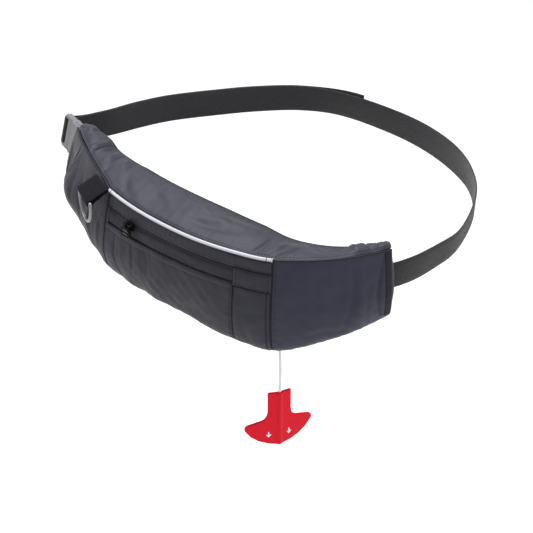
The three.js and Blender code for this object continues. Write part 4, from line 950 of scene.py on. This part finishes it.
def stitches(name, lines, pitch=3.0, half=1.15, radius=0.28, thread=THREAD):
    """Rows of stitches along lines of points in millimetres."""
    points, edges = [], []
    for line in lines:
        start = len(points)
        points += (np.asarray(line) * MM).tolist()
        edges += [(start + i, start + i + 1) for i in range(len(line) - 1)]
    mesh = bpy.data.meshes.new(name + "_line")
    mesh.from_pydata(points, edges, [])
    guide = link(name + "_line", mesh)
    modifier = guide.modifiers.new("stitches", "NODES")
    modifier.node_group = STITCHES
    values = {"Pitch": pitch * MM, "Half Length": half * MM, "Radius": radius * MM,
              "Thread": thread}
    for item in STITCHES.interface.items_tree:
        if item.in_out == "INPUT" and item.name in values:
            modifier[item.identifier] = values[item.name]
    show(link(name, finished_mesh(guide)))
    bpy.data.objects.remove(guide)
    bpy.data.meshes.remove(mesh)


# Cover panels

SLIT_DEEP, SLIT_HALF = 0.45, 0.5                    # between the zip's two halves
COIL_AWAY, COIL_HIGH, COIL_HALF = 2.4, 0.15, 1.6    # the tape's rise each side of it
ZIP_HEM_DEEP, ZIP_HEM_HALF = 1.3, 1.0
LIP_DOWN, LIP_HIGH, LIP_HALF = 2.4, 0.4, 2.0        # the pocket's turned and sewn top
LIP_STITCH, STITCH_DEEP, STITCH_HALF = 6.4, 0.3, 0.9
UNDERSIDE_SET = 1.9                                 # its edge, back from the front's


def zip_relief(at, down):
    """The slit where the zip's two halves meet, with a low rise each side of it."""
    from_slit = down - SLIDER_DOWN
    slit = ridge(from_slit, -SLIT_DEEP, SLIT_HALF)
    hem = ridge(ZIP_END - down, -ZIP_HEM_DEEP, ZIP_HEM_HALF)
    return slit + hem + ridge(np.abs(from_slit) - COIL_AWAY, COIL_HIGH, COIL_HALF)


def overlap_lip(at, down):
    """The top of the pocket stands a little proud where it is turned under and sewn."""
    edge = down - ZIP_END
    return (ridge(edge - LIP_DOWN, LIP_HIGH, LIP_HALF)
            + ridge(edge - LIP_STITCH, -STITCH_DEEP, STITCH_HALF))


PANELS = {}


def cover_panel(node, material, slot, *layout, **finish):
    PANELS[node] = Panel(*layout, **finish)
    return stand_for(PANELS[node].shell(material), node)


FROM_LEFT, TO_POCKET = LEFT_SEAM + HALF_GAP, POCKET_EDGE - HALF_GAP
FROM_POCKET, TO_RIGHT = POCKET_EDGE + HALF_GAP, RIGHT_SEAM - HALF_GAP
ZIP_ROW = (BAND_END + HALF_GAP, ZIP_END - HALF_GAP)
WHOLE = (LEFT_END, RIGHT_END)

cover_panel("upper_band", FRONT_CLOTH, "front_cloth", "upper_band_cloth", "front",
            (FROM_LEFT, TO_RIGHT), PIPING_RADIUS + SEAM_GAP, BAND_END - HALF_GAP, 11)
cover_panel("zipper", ZIP_TAPE, "front_cloth", "zipper_tape", "front",
            (LEFT_SEAM + ZIP_RUN_IN, TO_POCKET), *ZIP_ROW, 12,
            proud=-ZIP_SUNK, wall=CLOTH - ZIP_SUNK, sewn="tb", relief=zip_relief)
cover_panel("zip_run_in", FRONT_CLOTH, "front_cloth", "zip_run_in_cloth", "front",
            (FROM_LEFT, LEFT_SEAM + ZIP_RUN_IN - SEAM_GAP), *ZIP_ROW, 13)
cover_panel("zip_end_patch", PAINTED_SHADE_SIDE_CLOTH, "front_cloth", "zip_end_patch_cloth", "front",
            (FROM_POCKET, TO_RIGHT), BAND_END + HALF_GAP, PATCH_END - HALF_GAP, 14,
            proud=PATCH_PROUD, wall=CLOTH + PATCH_PROUD)
cover_panel("pocket_panel", FRONT_CLOTH, "front_cloth", "pocket_cloth", "front",
            (FROM_LEFT, TO_POCKET), ZIP_END + HALF_GAP, 0.0, 15, relief=overlap_lip)
cover_panel("side_panel", PAINTED_SHADE_SIDE_CLOTH, "front_cloth", "side_cloth", "front",
            (FROM_POCKET, TO_RIGHT), PATCH_END + HALF_GAP, 0.0, 16)
cover_panel("left_wing", FRONT_CLOTH, "wing_cloth", "left_wing_cloth", "front",
            (LEFT_END, LEFT_SEAM - HALF_GAP), 0.0, 0.0, 17)
cover_panel("right_wing", PAINTED_SHADE_WING_CLOTH, "wing_cloth", "right_wing_cloth", "front",
            (RIGHT_SEAM + HALF_GAP, RIGHT_END), 0.0, 0.0, 18)
cover_panel("top_gusset", PAINTED_LIGHTER_GUSSET_CLOTH, "gusset_cloth", "top_gusset_cloth", "top",
            WHOLE, SETBACK, -SETBACK, 19)
underside = cover_panel("underside", PAINTED_LIGHTER_GUSSET_CLOTH, "gusset_cloth", "underside_cloth", "under",
                        WHOLE, UNDERSIDE_SET, -SETBACK, 20)
cover_panel("back_panel", BACK_CLOTH, "back_cloth", "back_cloth", "back",
            WHOLE, 0.0, 0.0, 21, sewn="tb")

# The end panels reach from the belt to the front skin, between these shares of its height
END_TOP, END_BOTTOM = 0.04, 0.93
END_WAVE, END_WAVE_SIZE, END_WAVE_SEED = 0.25, 9, 31


def end_points(at, sign, inner_edge, set_in, rows=30, columns=12):
    shares = np.linspace(END_TOP, END_BOTTOM, rows + 1)
    where = np.array([at], float)
    down = (shares * face_length("front", where)[0])[None]
    skin = (plain_points("front", where, down)[0] + plain_normals("front", where, down)[0]
            * (fold_push("front", where, down)[0] - SETBACK)[:, None])
    point, tangent, outward = first_line.at(float(at))
    lean = section(where)["lean"][0]
    n_flat, z_flat = (skin - point) @ outward, (skin - point)[:, 2]
    n = n_flat * math.cos(lean) + z_flat * math.sin(lean)
    z = (-n_flat * math.sin(lean) + z_flat * math.cos(lean))[:, None]
    u = np.linspace(0, 1, columns + 1)
    across = inner_edge + (n[:, None] - inner_edge) * u
    z = np.repeat(z, columns + 1, 1)
    dome = END_DOME * np.sin(np.pi * u)[None] * np.sin(np.pi * shares)[:, None]
    dome = dome + END_WAVE * ripple(across, z, END_WAVE_SIZE, END_WAVE_SEED)
    flat = place(np.full(rows + 1, float(at)), across, z)
    return flat + tangent * (sign * (dome - set_in))[..., None]


for node, at, sign, layers in (("left_end_panel", LEFT_END, -1, LAYER),
                               ("right_end_panel", RIGHT_END, 1, 0.0)):
    inner_edge = layers + WEBBING_THICK / 2 + SEAM_GAP
    outer, inner = (end_points(at, sign, inner_edge, set_in) for set_in in (0.0, CLOTH))
    rows, columns = (np.arange(count) for count in outer.shape[:2])
    flat_uv = np.stack(np.meshgrid(rows, columns, indexing="ij"), -1) * 2 * MM
    stand_for(shell_object(node + "_cloth", outer, inner, flat_uv, BACK_CLOTH), node)


# Folded bladder inside the cover, with the ridges of its layers

BLADDER_INSET = CLOTH + 1.4
# Face, how far clear of its first and last edge, points
BLADDER_FACES = (("front", 5.5, 6.5, 30), ("under", 7.0, 8.0, 14), ("top", 8.0, 6.5, 18))
BLADDER_STEPS, STEPS_LEFT_OUT = 120, 4              # along the pouch, and at each end
LAYER_RIDGE = 0.5


def bladder_rings():
    at = np.linspace(LEFT_END, RIGHT_END, BLADDER_STEPS + 1)[STEPS_LEFT_OUT:-STEPS_LEFT_OUT]
    parts = []
    for face, low, high, count in BLADDER_FACES:
        length = face_length(face, at)
        down = low + (length - high - low)[:, None] * np.linspace(0, 1, count)
        ridges = np.abs(np.sin(np.linspace(0, 4 * math.pi, count)))[None]
        out = fold_push(face, at, down) - BLADDER_INSET + (LAYER_RIDGE * ridges - LAYER_RIDGE)
        parts.append(plain_points(face, at, down) + plain_normals(face, at, down) * out[..., None])
    return np.concatenate(parts, axis=1)


bladder = stand_for(tube_object("bladder_body", bladder_rings(), BLADDER_CLOTH),
                    "folded_bladder")


# Piping

piping_at = np.linspace(FROM_LEFT, TO_RIGHT, 181)
piping_section = section(piping_at)
piping_centre = place(piping_at, piping_section["depth"], piping_section["front"])
piping_out = first_line.at(piping_at)[2]
piping_rings = circles(piping_centre, piping_out, np.broadcast_to(UP, piping_out.shape),
                       PIPING_RADIUS, 16)
# Retroreflective film on a sewn cord: silver white with a fine bead grain, dark where it ends; that
# dark is partly painted shade of the seams either side of the strip
REFLECTIVE = piping_material("reflective piping", "d4d4dc", "1b1b1e",
                             float(run_along(piping_centre)[-1]))
stand_for(tube_object("piping_tube", piping_rings, REFLECTIVE), "piping")


# Belt webbing

BEFORE_BAR = 3.0
RISE_RUN = 60.0                 # over which the tail's end rises


def smooth_step(x, low, high):
    t = np.clip((x - low) / (high - low), 0, 1)
    return t * t * (3 - 2 * t)


def belt_stations(at, offset, rise=0.0):
    """The webbing's middle and its width's way at each place, offset from the belt's line."""
    at = np.asarray(at, float)
    point, tangent, outward = belt_line.at(at)
    inside = (at >= LEFT_END) & (at <= RIGHT_END)
    own_lean = np.radians(column(LEAN_PLACES, [row[2] for row in BELT_ROWS], at))
    lean = np.where(inside, section(at)["lean"], own_lean)[:, None]
    wide = UP * np.cos(lean) - outward * np.sin(lean)
    near = np.maximum(smooth_step(at, BELT_END - LEVEL_RUN, BELT_END),
                      1 - smooth_step(at, LEFT_END - STUB, LEFT_END))
    wide = unit(wide + (ACROSS - wide) * near[:, None])
    wide = unit(wide - tangent * np.sum(wide * tangent, axis=1, keepdims=True))
    thick_way = unit(np.cross(tangent, wide))
    offset, rise = (np.broadcast_to(v, at.shape)[:, None] for v in (offset, rise))
    return point + thick_way * offset + wide * rise, wide


def wrap_stations(bar, start, end, count=14):
    turns = np.radians(np.linspace(start, end, count + 1))
    points = np.stack([on_buckle(bar + WRAP_RADIUS * math.cos(t), WRAP_RADIUS * math.sin(t), 0)
                       for t in turns])
    return points, np.broadcast_to(ACROSS, points.shape)


def bar_station(side):
    """The webbing just before or behind the socket's bar."""
    return on_buckle(-BEFORE_BAR, side * WRAP_RADIUS, 0)[None], ACROSS[None]


tail_end = BELT_END - TAIL_LENGTH
near_plug = BELT_END - PLUG_RUN
tail_at = np.concatenate([np.linspace(BELT_END, near_plug, 13)[1:],
                          np.linspace(near_plug, tail_end, 60)[1:]])
near_bar = smooth_step(tail_at, near_plug, BELT_END)
tail_rise = TAIL_RISE * (1 - smooth_step(tail_at, tail_end, tail_end + RISE_RUN))
belt_parts = [
    belt_stations(np.linspace(LEFT_END + FOLD_LENGTH, LEFT_END, 9), LAYER),
    bar_station(1),
    wrap_stations(0, 90, -90),
    bar_station(-1),
    belt_stations(np.linspace(LEFT_END, RIGHT_END, 81), 0.0),
    belt_stations(np.linspace(RIGHT_END, near_plug, 120)[1:], 0.0),
    belt_stations(np.linspace(near_plug, BELT_END, 13)[1:], 0.0),
    wrap_stations(PLUG_BAR, 180, 0),
    belt_stations(tail_at, LAYER + (2 * WRAP_RADIUS - LAYER) * near_bar, tail_rise),
]
belt = ribbon_object("belt_webbing_band", *(np.vstack(part) for part in zip(*belt_parts)), WEBBING)
stand_for(belt, "belt_webbing")


# D-ring and its webbing

def joint_place(name):
    """Where a joint lies, in millimetres, and the way its axis runs from right to left."""
    return np.array(JOINTS[name]["pos_m"]) / MM, -unit(np.array(JOINTS[name]["axis"], float))


TAPE_LONG = 13.0                    # of each layer, from the cover to the bar
TAPE_STEP, TAPE_STEP_FROM, TAPE_STEP_TO = 0.7, 5, 11    # where the layers part over the bar
TAPE_WAVE = 0.3                     # height of the upper layer's wave, and its turn for each mm
RING_CORNER = 2.2
RING_ARM = 6.0                      # straight from the corner, before the bow

BAR, SEAM_WAY = joint_place("d_ring_swing")
seam_out = unit(np.array([SEAM_WAY[1], -SEAM_WAY[0], 0.0]))
TAPE_OUT = seam_out * math.cos(math.radians(TAPE_SLOPE)) - UP * math.sin(math.radians(TAPE_SLOPE))
TAPE_UP = unit(np.cross(SEAM_WAY, TAPE_OUT))
TAPE_UP = TAPE_UP if TAPE_UP[2] > 0 else -TAPE_UP
TAPE_WRAP = RING_WIRE + 0.2 + WEBBING_THICK / 2
TAPE_ROOT = BAR - TAPE_OUT * (TAPE_REACH - TAPE_WRAP)
TAPE_HALF = LAYER / 2 + 0.1


def tape_point(x, y):
    return TAPE_ROOT + TAPE_OUT * x + TAPE_UP * y


def tape_upper(x):
    step = TAPE_STEP * smooth_step(x, TAPE_STEP_FROM, TAPE_STEP_TO)
    return tape_point(x, TAPE_HALF + step + TAPE_WAVE * math.sin(x * TAPE_WAVE))


def tape_lower(x):
    return tape_point(x, -TAPE_HALF - TAPE_STEP * smooth_step(x, TAPE_STEP_FROM, TAPE_STEP_TO))


upper = [tape_upper(x) for x in np.linspace(0, TAPE_LONG, 12)]
around_bar = [BAR + TAPE_OUT * TAPE_WRAP * math.cos(t) + TAPE_UP * TAPE_WRAP * math.sin(t)
              for t in np.radians(np.linspace(90, -90, 15))]
lower = [tape_lower(x) for x in np.linspace(TAPE_LONG, 0, 12)]
tape_points = np.array(upper + around_bar + lower)
tape = ribbon_object("d_ring_tape_band", tape_points,
                     np.broadcast_to(SEAM_WAY, tape_points.shape), SHADED_TAPE_WEBBING)
stand_for(tape, "d_ring_tape")

ring_half = WEBBING_WIDTH / 2 + 1 + RING_WIRE
ring_bow = RING_DEPTH - 2 * RING_WIRE - RING_ARM
corner_at = ring_half - RING_CORNER
ring_side = [(corner_at + RING_CORNER * math.sin(t), RING_CORNER - RING_CORNER * math.cos(t))
             for t in np.linspace(0.25, 1.4, 5)]
ring_side += [(ring_half, y) for y in np.linspace(3.0, RING_ARM, 3)]
ring_path = [(x, 0.0) for x in np.linspace(-corner_at, corner_at, 14)] + ring_side
ring_path += [(ring_half * math.cos(t), RING_ARM + ring_bow * math.sin(t))
              for t in np.linspace(0, math.pi, 41)[1:-1]]
ring_path += [(-x, y) for x, y in reversed(ring_side)]
RING_DOWN = unit(-UP + SEAM_WAY * SEAM_WAY[2])
ring_points = np.array([BAR + SEAM_WAY * x + RING_DOWN * y for x, y in ring_path])
ring_rings = wire_rings(ring_points, unit(np.cross(SEAM_WAY, RING_DOWN)), RING_WIRE, 14, True)
ring = tube_object("d_ring_wire", ring_rings, GREY_METAL, closed=True)
stand_for(ring, "d_ring", "d_ring")


# Buckle, zip slider and pull

stand_for(bevelled("buckle_socket", "socket_moulding", ACETAL, 0.45), "buckle_socket")
stand_for(bevelled("buckle_plug", "plug_moulding", ACETAL, 0.4), "buckle_plug")
stand_for(moulded("zip_slider", "slider_moulding", NYLON, 0.25, 3), "zip_slider")
stand_for(bevelled("zip_pull", "pull_moulding", NYLON, 0.3), "zip_pull", "zip_pull")

# Two grey marks inside the pull's ring, a zigzag and a bar: share of the way down the ring, half
# width, swing and half thickness. Lengths run down from the bridge, and out from its middle. The
# marks stand raised, and their grey is a painted highlight on the black moulding.
PULL_MARKS = (("pull_zigzag", 0.34, 3.3, 1.0, 0.40), ("pull_bar", 0.76, 3.2, 0.15, 0.50))
RING_TOP, RING_TALL, MARK_OUT, ZIGZAG_PITCH = 2.7, 7.4, 0.5, 2.6

BRIDGE, PULL_WAY = joint_place("zip_pull_swing")
PULL_OUT = plain_normals("front", np.array([SLIDER_AT]), np.array([[SLIDER_DOWN]]))[0, 0]
PULL_OUT = unit(PULL_OUT - PULL_WAY * np.dot(PULL_OUT, PULL_WAY))
PULL_UP = np.cross(PULL_OUT, PULL_WAY)
for name, share, half_width, swing, radius in PULL_MARKS:
    mark_line = []
    for x in np.linspace(-half_width, half_width, 25):
        up_down = swing * (4 * abs((x / ZIGZAG_PITCH) % 1.0 - 0.5) - 1.0)
        down = RING_TOP + share * RING_TALL + up_down
        mark_line.append(BRIDGE + PULL_WAY * x - PULL_UP * down + PULL_OUT * MARK_OUT)
    mark = tube_object(name, wire_rings(mark_line, PULL_OUT, radius, 10), PULL_HIGHLIGHT_GREY)
    show(mark, "zip_pull")


# Pull cord and tab

TAB_ACROSS = level_way(TAB_TURN)
TAB_OUT = np.array([TAB_ACROSS[1], -TAB_ACROSS[0], 0.0])
# The cord's route below the cover, in metres, as the CAD part lists it
CORD_ROUTE = [
    (0.092248, -0.109353, -0.060368), (0.092248, -0.109353, -0.063668),
    (0.092270, -0.109320, -0.066968), (0.092304, -0.109270, -0.070268),
    (0.092365, -0.109215, -0.073468), (0.092426, -0.109160, -0.076768),
    (0.092477, -0.109121, -0.080068), (0.092515, -0.109099, -0.083368),
    (0.092527, -0.109083, -0.086668), (0.092515, -0.109099, -0.089968),
    (0.092477, -0.109121, -0.093268), (0.092426, -0.109160, -0.096568),
    (0.092365, -0.109215, -0.099768), (0.092304, -0.109270, -0.103068),
    (0.092270, -0.109320, -0.106368), (0.092248, -0.109353, -0.109668),
]
cord_line = centripetal(np.array(CORD_ROUTE) / MM, 4)
cord_obj = tube_object("cord_braid", wire_rings(cord_line, TAB_OUT, CORD_RADIUS, 16), CORD_BRAID)
stand_for(cord_obj, "pull_cord")
tab_obj = stand_for(moulded("pull_tab", "tab_moulding", TAB_PLASTIC, 0.45, 12), "pull_tab")
TAB_TOP = np.array(CORD_ROUTE[-1]) / MM - UP * SEAM_GAP
# a piece on a cord may reach only so far from the cord's line
TAB_SHRINK = 0.975                # the share of its height that the tab keeps, squeezed up towards the cord's end
for vertex in tab_obj.data.vertices:
    vertex.co.z = TAB_TOP[2] * MM + (vertex.co.z - TAB_TOP[2] * MM) * TAB_SHRINK

# The cord's hole through the underside
HOLE_REACH = 12                   # of the cutting tool, up and down
hole_round = [CORD_HOLE_RADIUS * (TAB_ACROSS * math.cos(t) + TAB_OUT * math.sin(t))
              for t in np.linspace(0, 2 * math.pi, 25)[:-1]]
hole_rings = [[np.array(CORD_ROUTE[0]) / MM + UP * z + out for out in hole_round]
              for z in (-HOLE_REACH, HOLE_REACH)]
hole_tool = tube_object("hole_tool", hole_rings, PAINTED_LIGHTER_GUSSET_CLOTH)
cut = underside.modifiers.new("hole", "BOOLEAN")
cut.operation = "DIFFERENCE"
cut.solver = "EXACT"
cut.object = hole_tool
apply_modifiers(underside)
bpy.data.objects.remove(hole_tool)

# Two plain arrows on the tab, each drawn x across and y up from its tip
ARROW = [(0.0, 0.0), (2.5, 3.4), (0.6, 3.2), (0.6, 6.4), (-0.6, 6.4), (-0.6, 3.2), (-2.5, 3.4)]
ARROWS = (("arrow_left", -10.0), ("arrow_right", 8.8))
ARROW_TIP = 49.5                  # below the tab's top
PRINT_OUT, PRINT_DEEP = 0.12, 0.2

bpy.context.view_layer.update()
tab_tree = BVHTree.FromObject(tab_obj, bpy.context.evaluated_depsgraph_get())
for name, middle in ARROWS:
    front_points = []
    for x, y in ARROW:
        start = TAB_TOP + TAB_ACROSS * (middle + x) - UP * (ARROW_TIP - y) + TAB_OUT * 20
        hit = tab_tree.ray_cast(Vector(start * MM), Vector(-TAB_OUT), 60 * MM)[0]
        front_points.append(np.array(hit) / MM + TAB_OUT * PRINT_OUT)
    back_points = [p - TAB_OUT * PRINT_DEEP for p in front_points]
    count = len(ARROW)
    faces = [list(range(count)), list(range(2 * count - 1, count - 1, -1))]
    faces += [[i, (i + 1) % count, count + (i + 1) % count, count + i] for i in range(count)]
    show(new_object(name, np.array(front_points + back_points), faces, TAB_INK, smooth=False))


# Stitching

ON_CLOTH = 0.05                   # how far a stitch's middle stands off the cloth


def row(panel, at0, at1, down, count=200):
    """A line along a panel."""
    at = np.linspace(at0, at1, count)
    return PANELS[panel].points(at, np.broadcast_to(down, at.shape), ON_CLOTH)


def upright(panel, at, down0, down1, count=60):
    """A line down a panel."""
    return PANELS[panel].points(np.full(count, float(at)), np.linspace(down0, down1, count),
                                ON_CLOTH)


def gusset_row(inset, from_back):
    at = np.linspace(LEFT_END + 3, RIGHT_END - 3, 240)
    down = face_length("top", at) - inset if from_back else np.full_like(at, inset)
    return PANELS["top_gusset"].points(at, down, ON_CLOTH)


stitches("band_stitches", [row("upper_band", LEFT_SEAM + 2, RIGHT_SEAM - 2, BAND_END - 2.2, 300)])
stitches("zip_stitches", [row("zipper", LEFT_SEAM + 5, POCKET_EDGE - 1, down, 300)
                          for down in (BAND_END + 2.0, ZIP_END - 1.6)], thread=DARK_THREAD_AND_SEAM_SHADE)
stitches("pocket_stitches", [
    row("pocket_panel", LEFT_SEAM + 2, POCKET_EDGE - 2, ZIP_END + LIP_STITCH, 300),
    upright("pocket_panel", POCKET_EDGE - 2.4, ZIP_END + 2, 97)])
patch_rows = (BAND_END + 2.2, PATCH_END - 2.2)
stitches("patch_stitches",
         [row("zip_end_patch", POCKET_EDGE + 2, RIGHT_SEAM - 2, down) for down in patch_rows]
         + [upright("zip_end_patch", at, *patch_rows, 20)
            for at in (POCKET_EDGE + 2, RIGHT_SEAM - 2)])
stitches("side_stitches", [upright("side_panel", RIGHT_SEAM - 2.6, PATCH_END + 2, 98)])
stitches("right_wing_stitches", [upright("right_wing", RIGHT_END - 3.5, 3, 62),
                                 upright("right_wing", RIGHT_SEAM + 2.6, 4, 98)])
stitches("left_wing_stitches", [upright("left_wing", LEFT_END + 3.5, 3, 62)])
stitches("gusset_stitches", [gusset_row(SETBACK + 3.0, from_back) for from_back in (False, True)])


def box_stitch(points, wides, half_width, lift):
    """A sewn box across a webbing, on its outer side."""
    face = unit(np.cross(unit(np.gradient(points, axis=0)), wides))
    outer = points + face * lift
    ends = [np.stack([outer[i] + wides[i] * h for h in np.linspace(-half_width, half_width, 12)])
            for i in (0, -1)]
    return [outer + wides * half_width, outer - wides * half_width] + ends


WEBBING_TOP_SIDE = WEBBING_THICK / 2 + ON_CLOTH
tail_box = belt_stations(np.linspace(tail_end + 3, tail_end + 12, 8), LAYER, TAIL_RISE)
stitches("tail_stitches", box_stitch(*tail_box, 10.0, WEBBING_TOP_SIDE), thread=DARK_THREAD_AND_SEAM_SHADE)
tape_rows = [tape_upper(x) + TAPE_UP * WEBBING_TOP_SIDE
             for x in np.linspace(1.5, 8.5, 8)[[0, 2, 4]]]
stitches("tape_stitches", [np.stack([p + SEAM_WAY * h for h in np.linspace(-10.5, 10.5, 20)])
                           for p in tape_rows], pitch=2.2, half=0.9, thread=DARK_THREAD_AND_SEAM_SHADE)


# Dark lines where two panels are sewn together, painted shade of the gaps between them, and the
# binding at the right end, painted dark for the shade it lies in

def along_at(panel, at, down):
    pair = PANELS[panel].points(np.array([at - 1.0, at + 1.0]), np.array([down, down]))
    return unit(pair[1] - pair[0])


def seam_shade_line(name, line, across, radius):
    show(tube_object(name, wire_rings(line, across, radius, 8), DARK_THREAD_AND_SEAM_SHADE))


# Each of these dark tubes is painted shade in a seam's gap
for name, panel, at, down0, down1, radius in (
        ("left_seam", "pocket_panel", LEFT_SEAM + 0.3, 3.0, 94.0, 0.45),
        ("pocket_seam", "pocket_panel", POCKET_EDGE - 0.3, ZIP_END + 1.0, 97.0, 0.50),
        ("side_seam", "side_panel", RIGHT_SEAM - 3.0, PATCH_END + 1.0, 97.0, 0.30),
        ("right_seam", "right_wing", RIGHT_SEAM + 0.2, 1.0, 97.0, 0.55)):
    seam_shade_line(name, upright(panel, at, down0, down1, 80), along_at(panel, at, 40.0), radius)
for name, panel, at0, at1, down, radius in (
        ("patch_slit", "zip_end_patch", POCKET_EDGE + 0.5, RIGHT_SEAM - 0.5, PATCH_END, 0.55),
        ("band_seam", "upper_band", LEFT_SEAM + 1.0, RIGHT_SEAM - 1.0, BAND_END - 0.1, 0.22),
        ("right_top_seam", "right_wing", RIGHT_SEAM + 0.5, RIGHT_END - 1.0, 0.3, 0.50),
        ("left_top_seam", "left_wing", LEFT_END + 1.0, LEFT_SEAM - 0.5, 0.3, 0.45)):
    seam_shade_line(name, row(panel, at0, at1, down), UP, radius)

HEM_WIDTH, HEM_THICK, HEM_OUT = 5.4, 0.8, 0.2
HEM_AT = RIGHT_END - 3.2
hem_along = along_at("right_wing", HEM_AT, 30.0)
hem_line = upright("right_wing", HEM_AT, 2.0, 63.0) + unit(np.cross(hem_along, UP)) * HEM_OUT
hem = ribbon_object("right_end_binding", hem_line, np.broadcast_to(hem_along, hem_line.shape),
                    SHADED_BINDING, HEM_WIDTH, HEM_THICK)
show(hem)

# The zip's coil, seen in the slit from the slider to the pocket's edge
coil_at = np.linspace(SLIDER_AT + 6, POCKET_EDGE - 1, 300)
stitches("zip_coil", [PANELS["zipper"].points(coil_at, np.full_like(coil_at, SLIDER_DOWN), 0.25)],
         pitch=1.2, half=0.42, radius=0.4)


# Floor, light and background

FLOOR_HALF, FLOOR_DOWN = 40, -0.8     # metres

floor_mesh = bpy.data.meshes.new("floor")
floor_mesh.from_pydata([(x * FLOOR_HALF, y * FLOOR_HALF, FLOOR_DOWN)
                        for x, y in ((-1, -1), (1, -1), (1, 1), (-1, 1))], [], [(0, 1, 2, 3)])
floor_mesh.materials.append(FLOOR)
floor = link("floor", floor_mesh)

world = bpy.data.worlds.new("studio")
bpy.context.scene.world = world
world.use_nodes = True
set_inputs(world.node_tree, world.node_tree.nodes["Background"],
           {"Color": (1.0, 1.0, 1.0, 1.0), "Strength": 0.40})


def area_light(name, position, size, power):
    """A round soft light, pointed at the waist's middle. Metres and watts."""
    data = bpy.data.lights.new(name, "AREA")
    data.shape = "DISK"
    data.size = size
    data.energy = power
    lamp = link(name, data)
    lamp.location = position
    lamp.rotation_euler = (-Vector(position)).to_track_quat("-Z", "Y").to_euler()


area_light("key_light", (-0.5, 0.5, 2.2), 0.9, 62)
area_light("left_light", (-2.0, -1.2, 1.0), 0.8, 13)
area_light("right_light", (2.2, -0.2, 0.9), 0.8, 12)

bpy.context.scene.view_settings.view_transform = "Standard"
bpy.context.scene.view_settings.look = "None"

for obj in NODES.values():
    if not obj.hide_render:
        obj.data.materials.clear()
        obj.data.materials.append(FRONT_CLOTH)
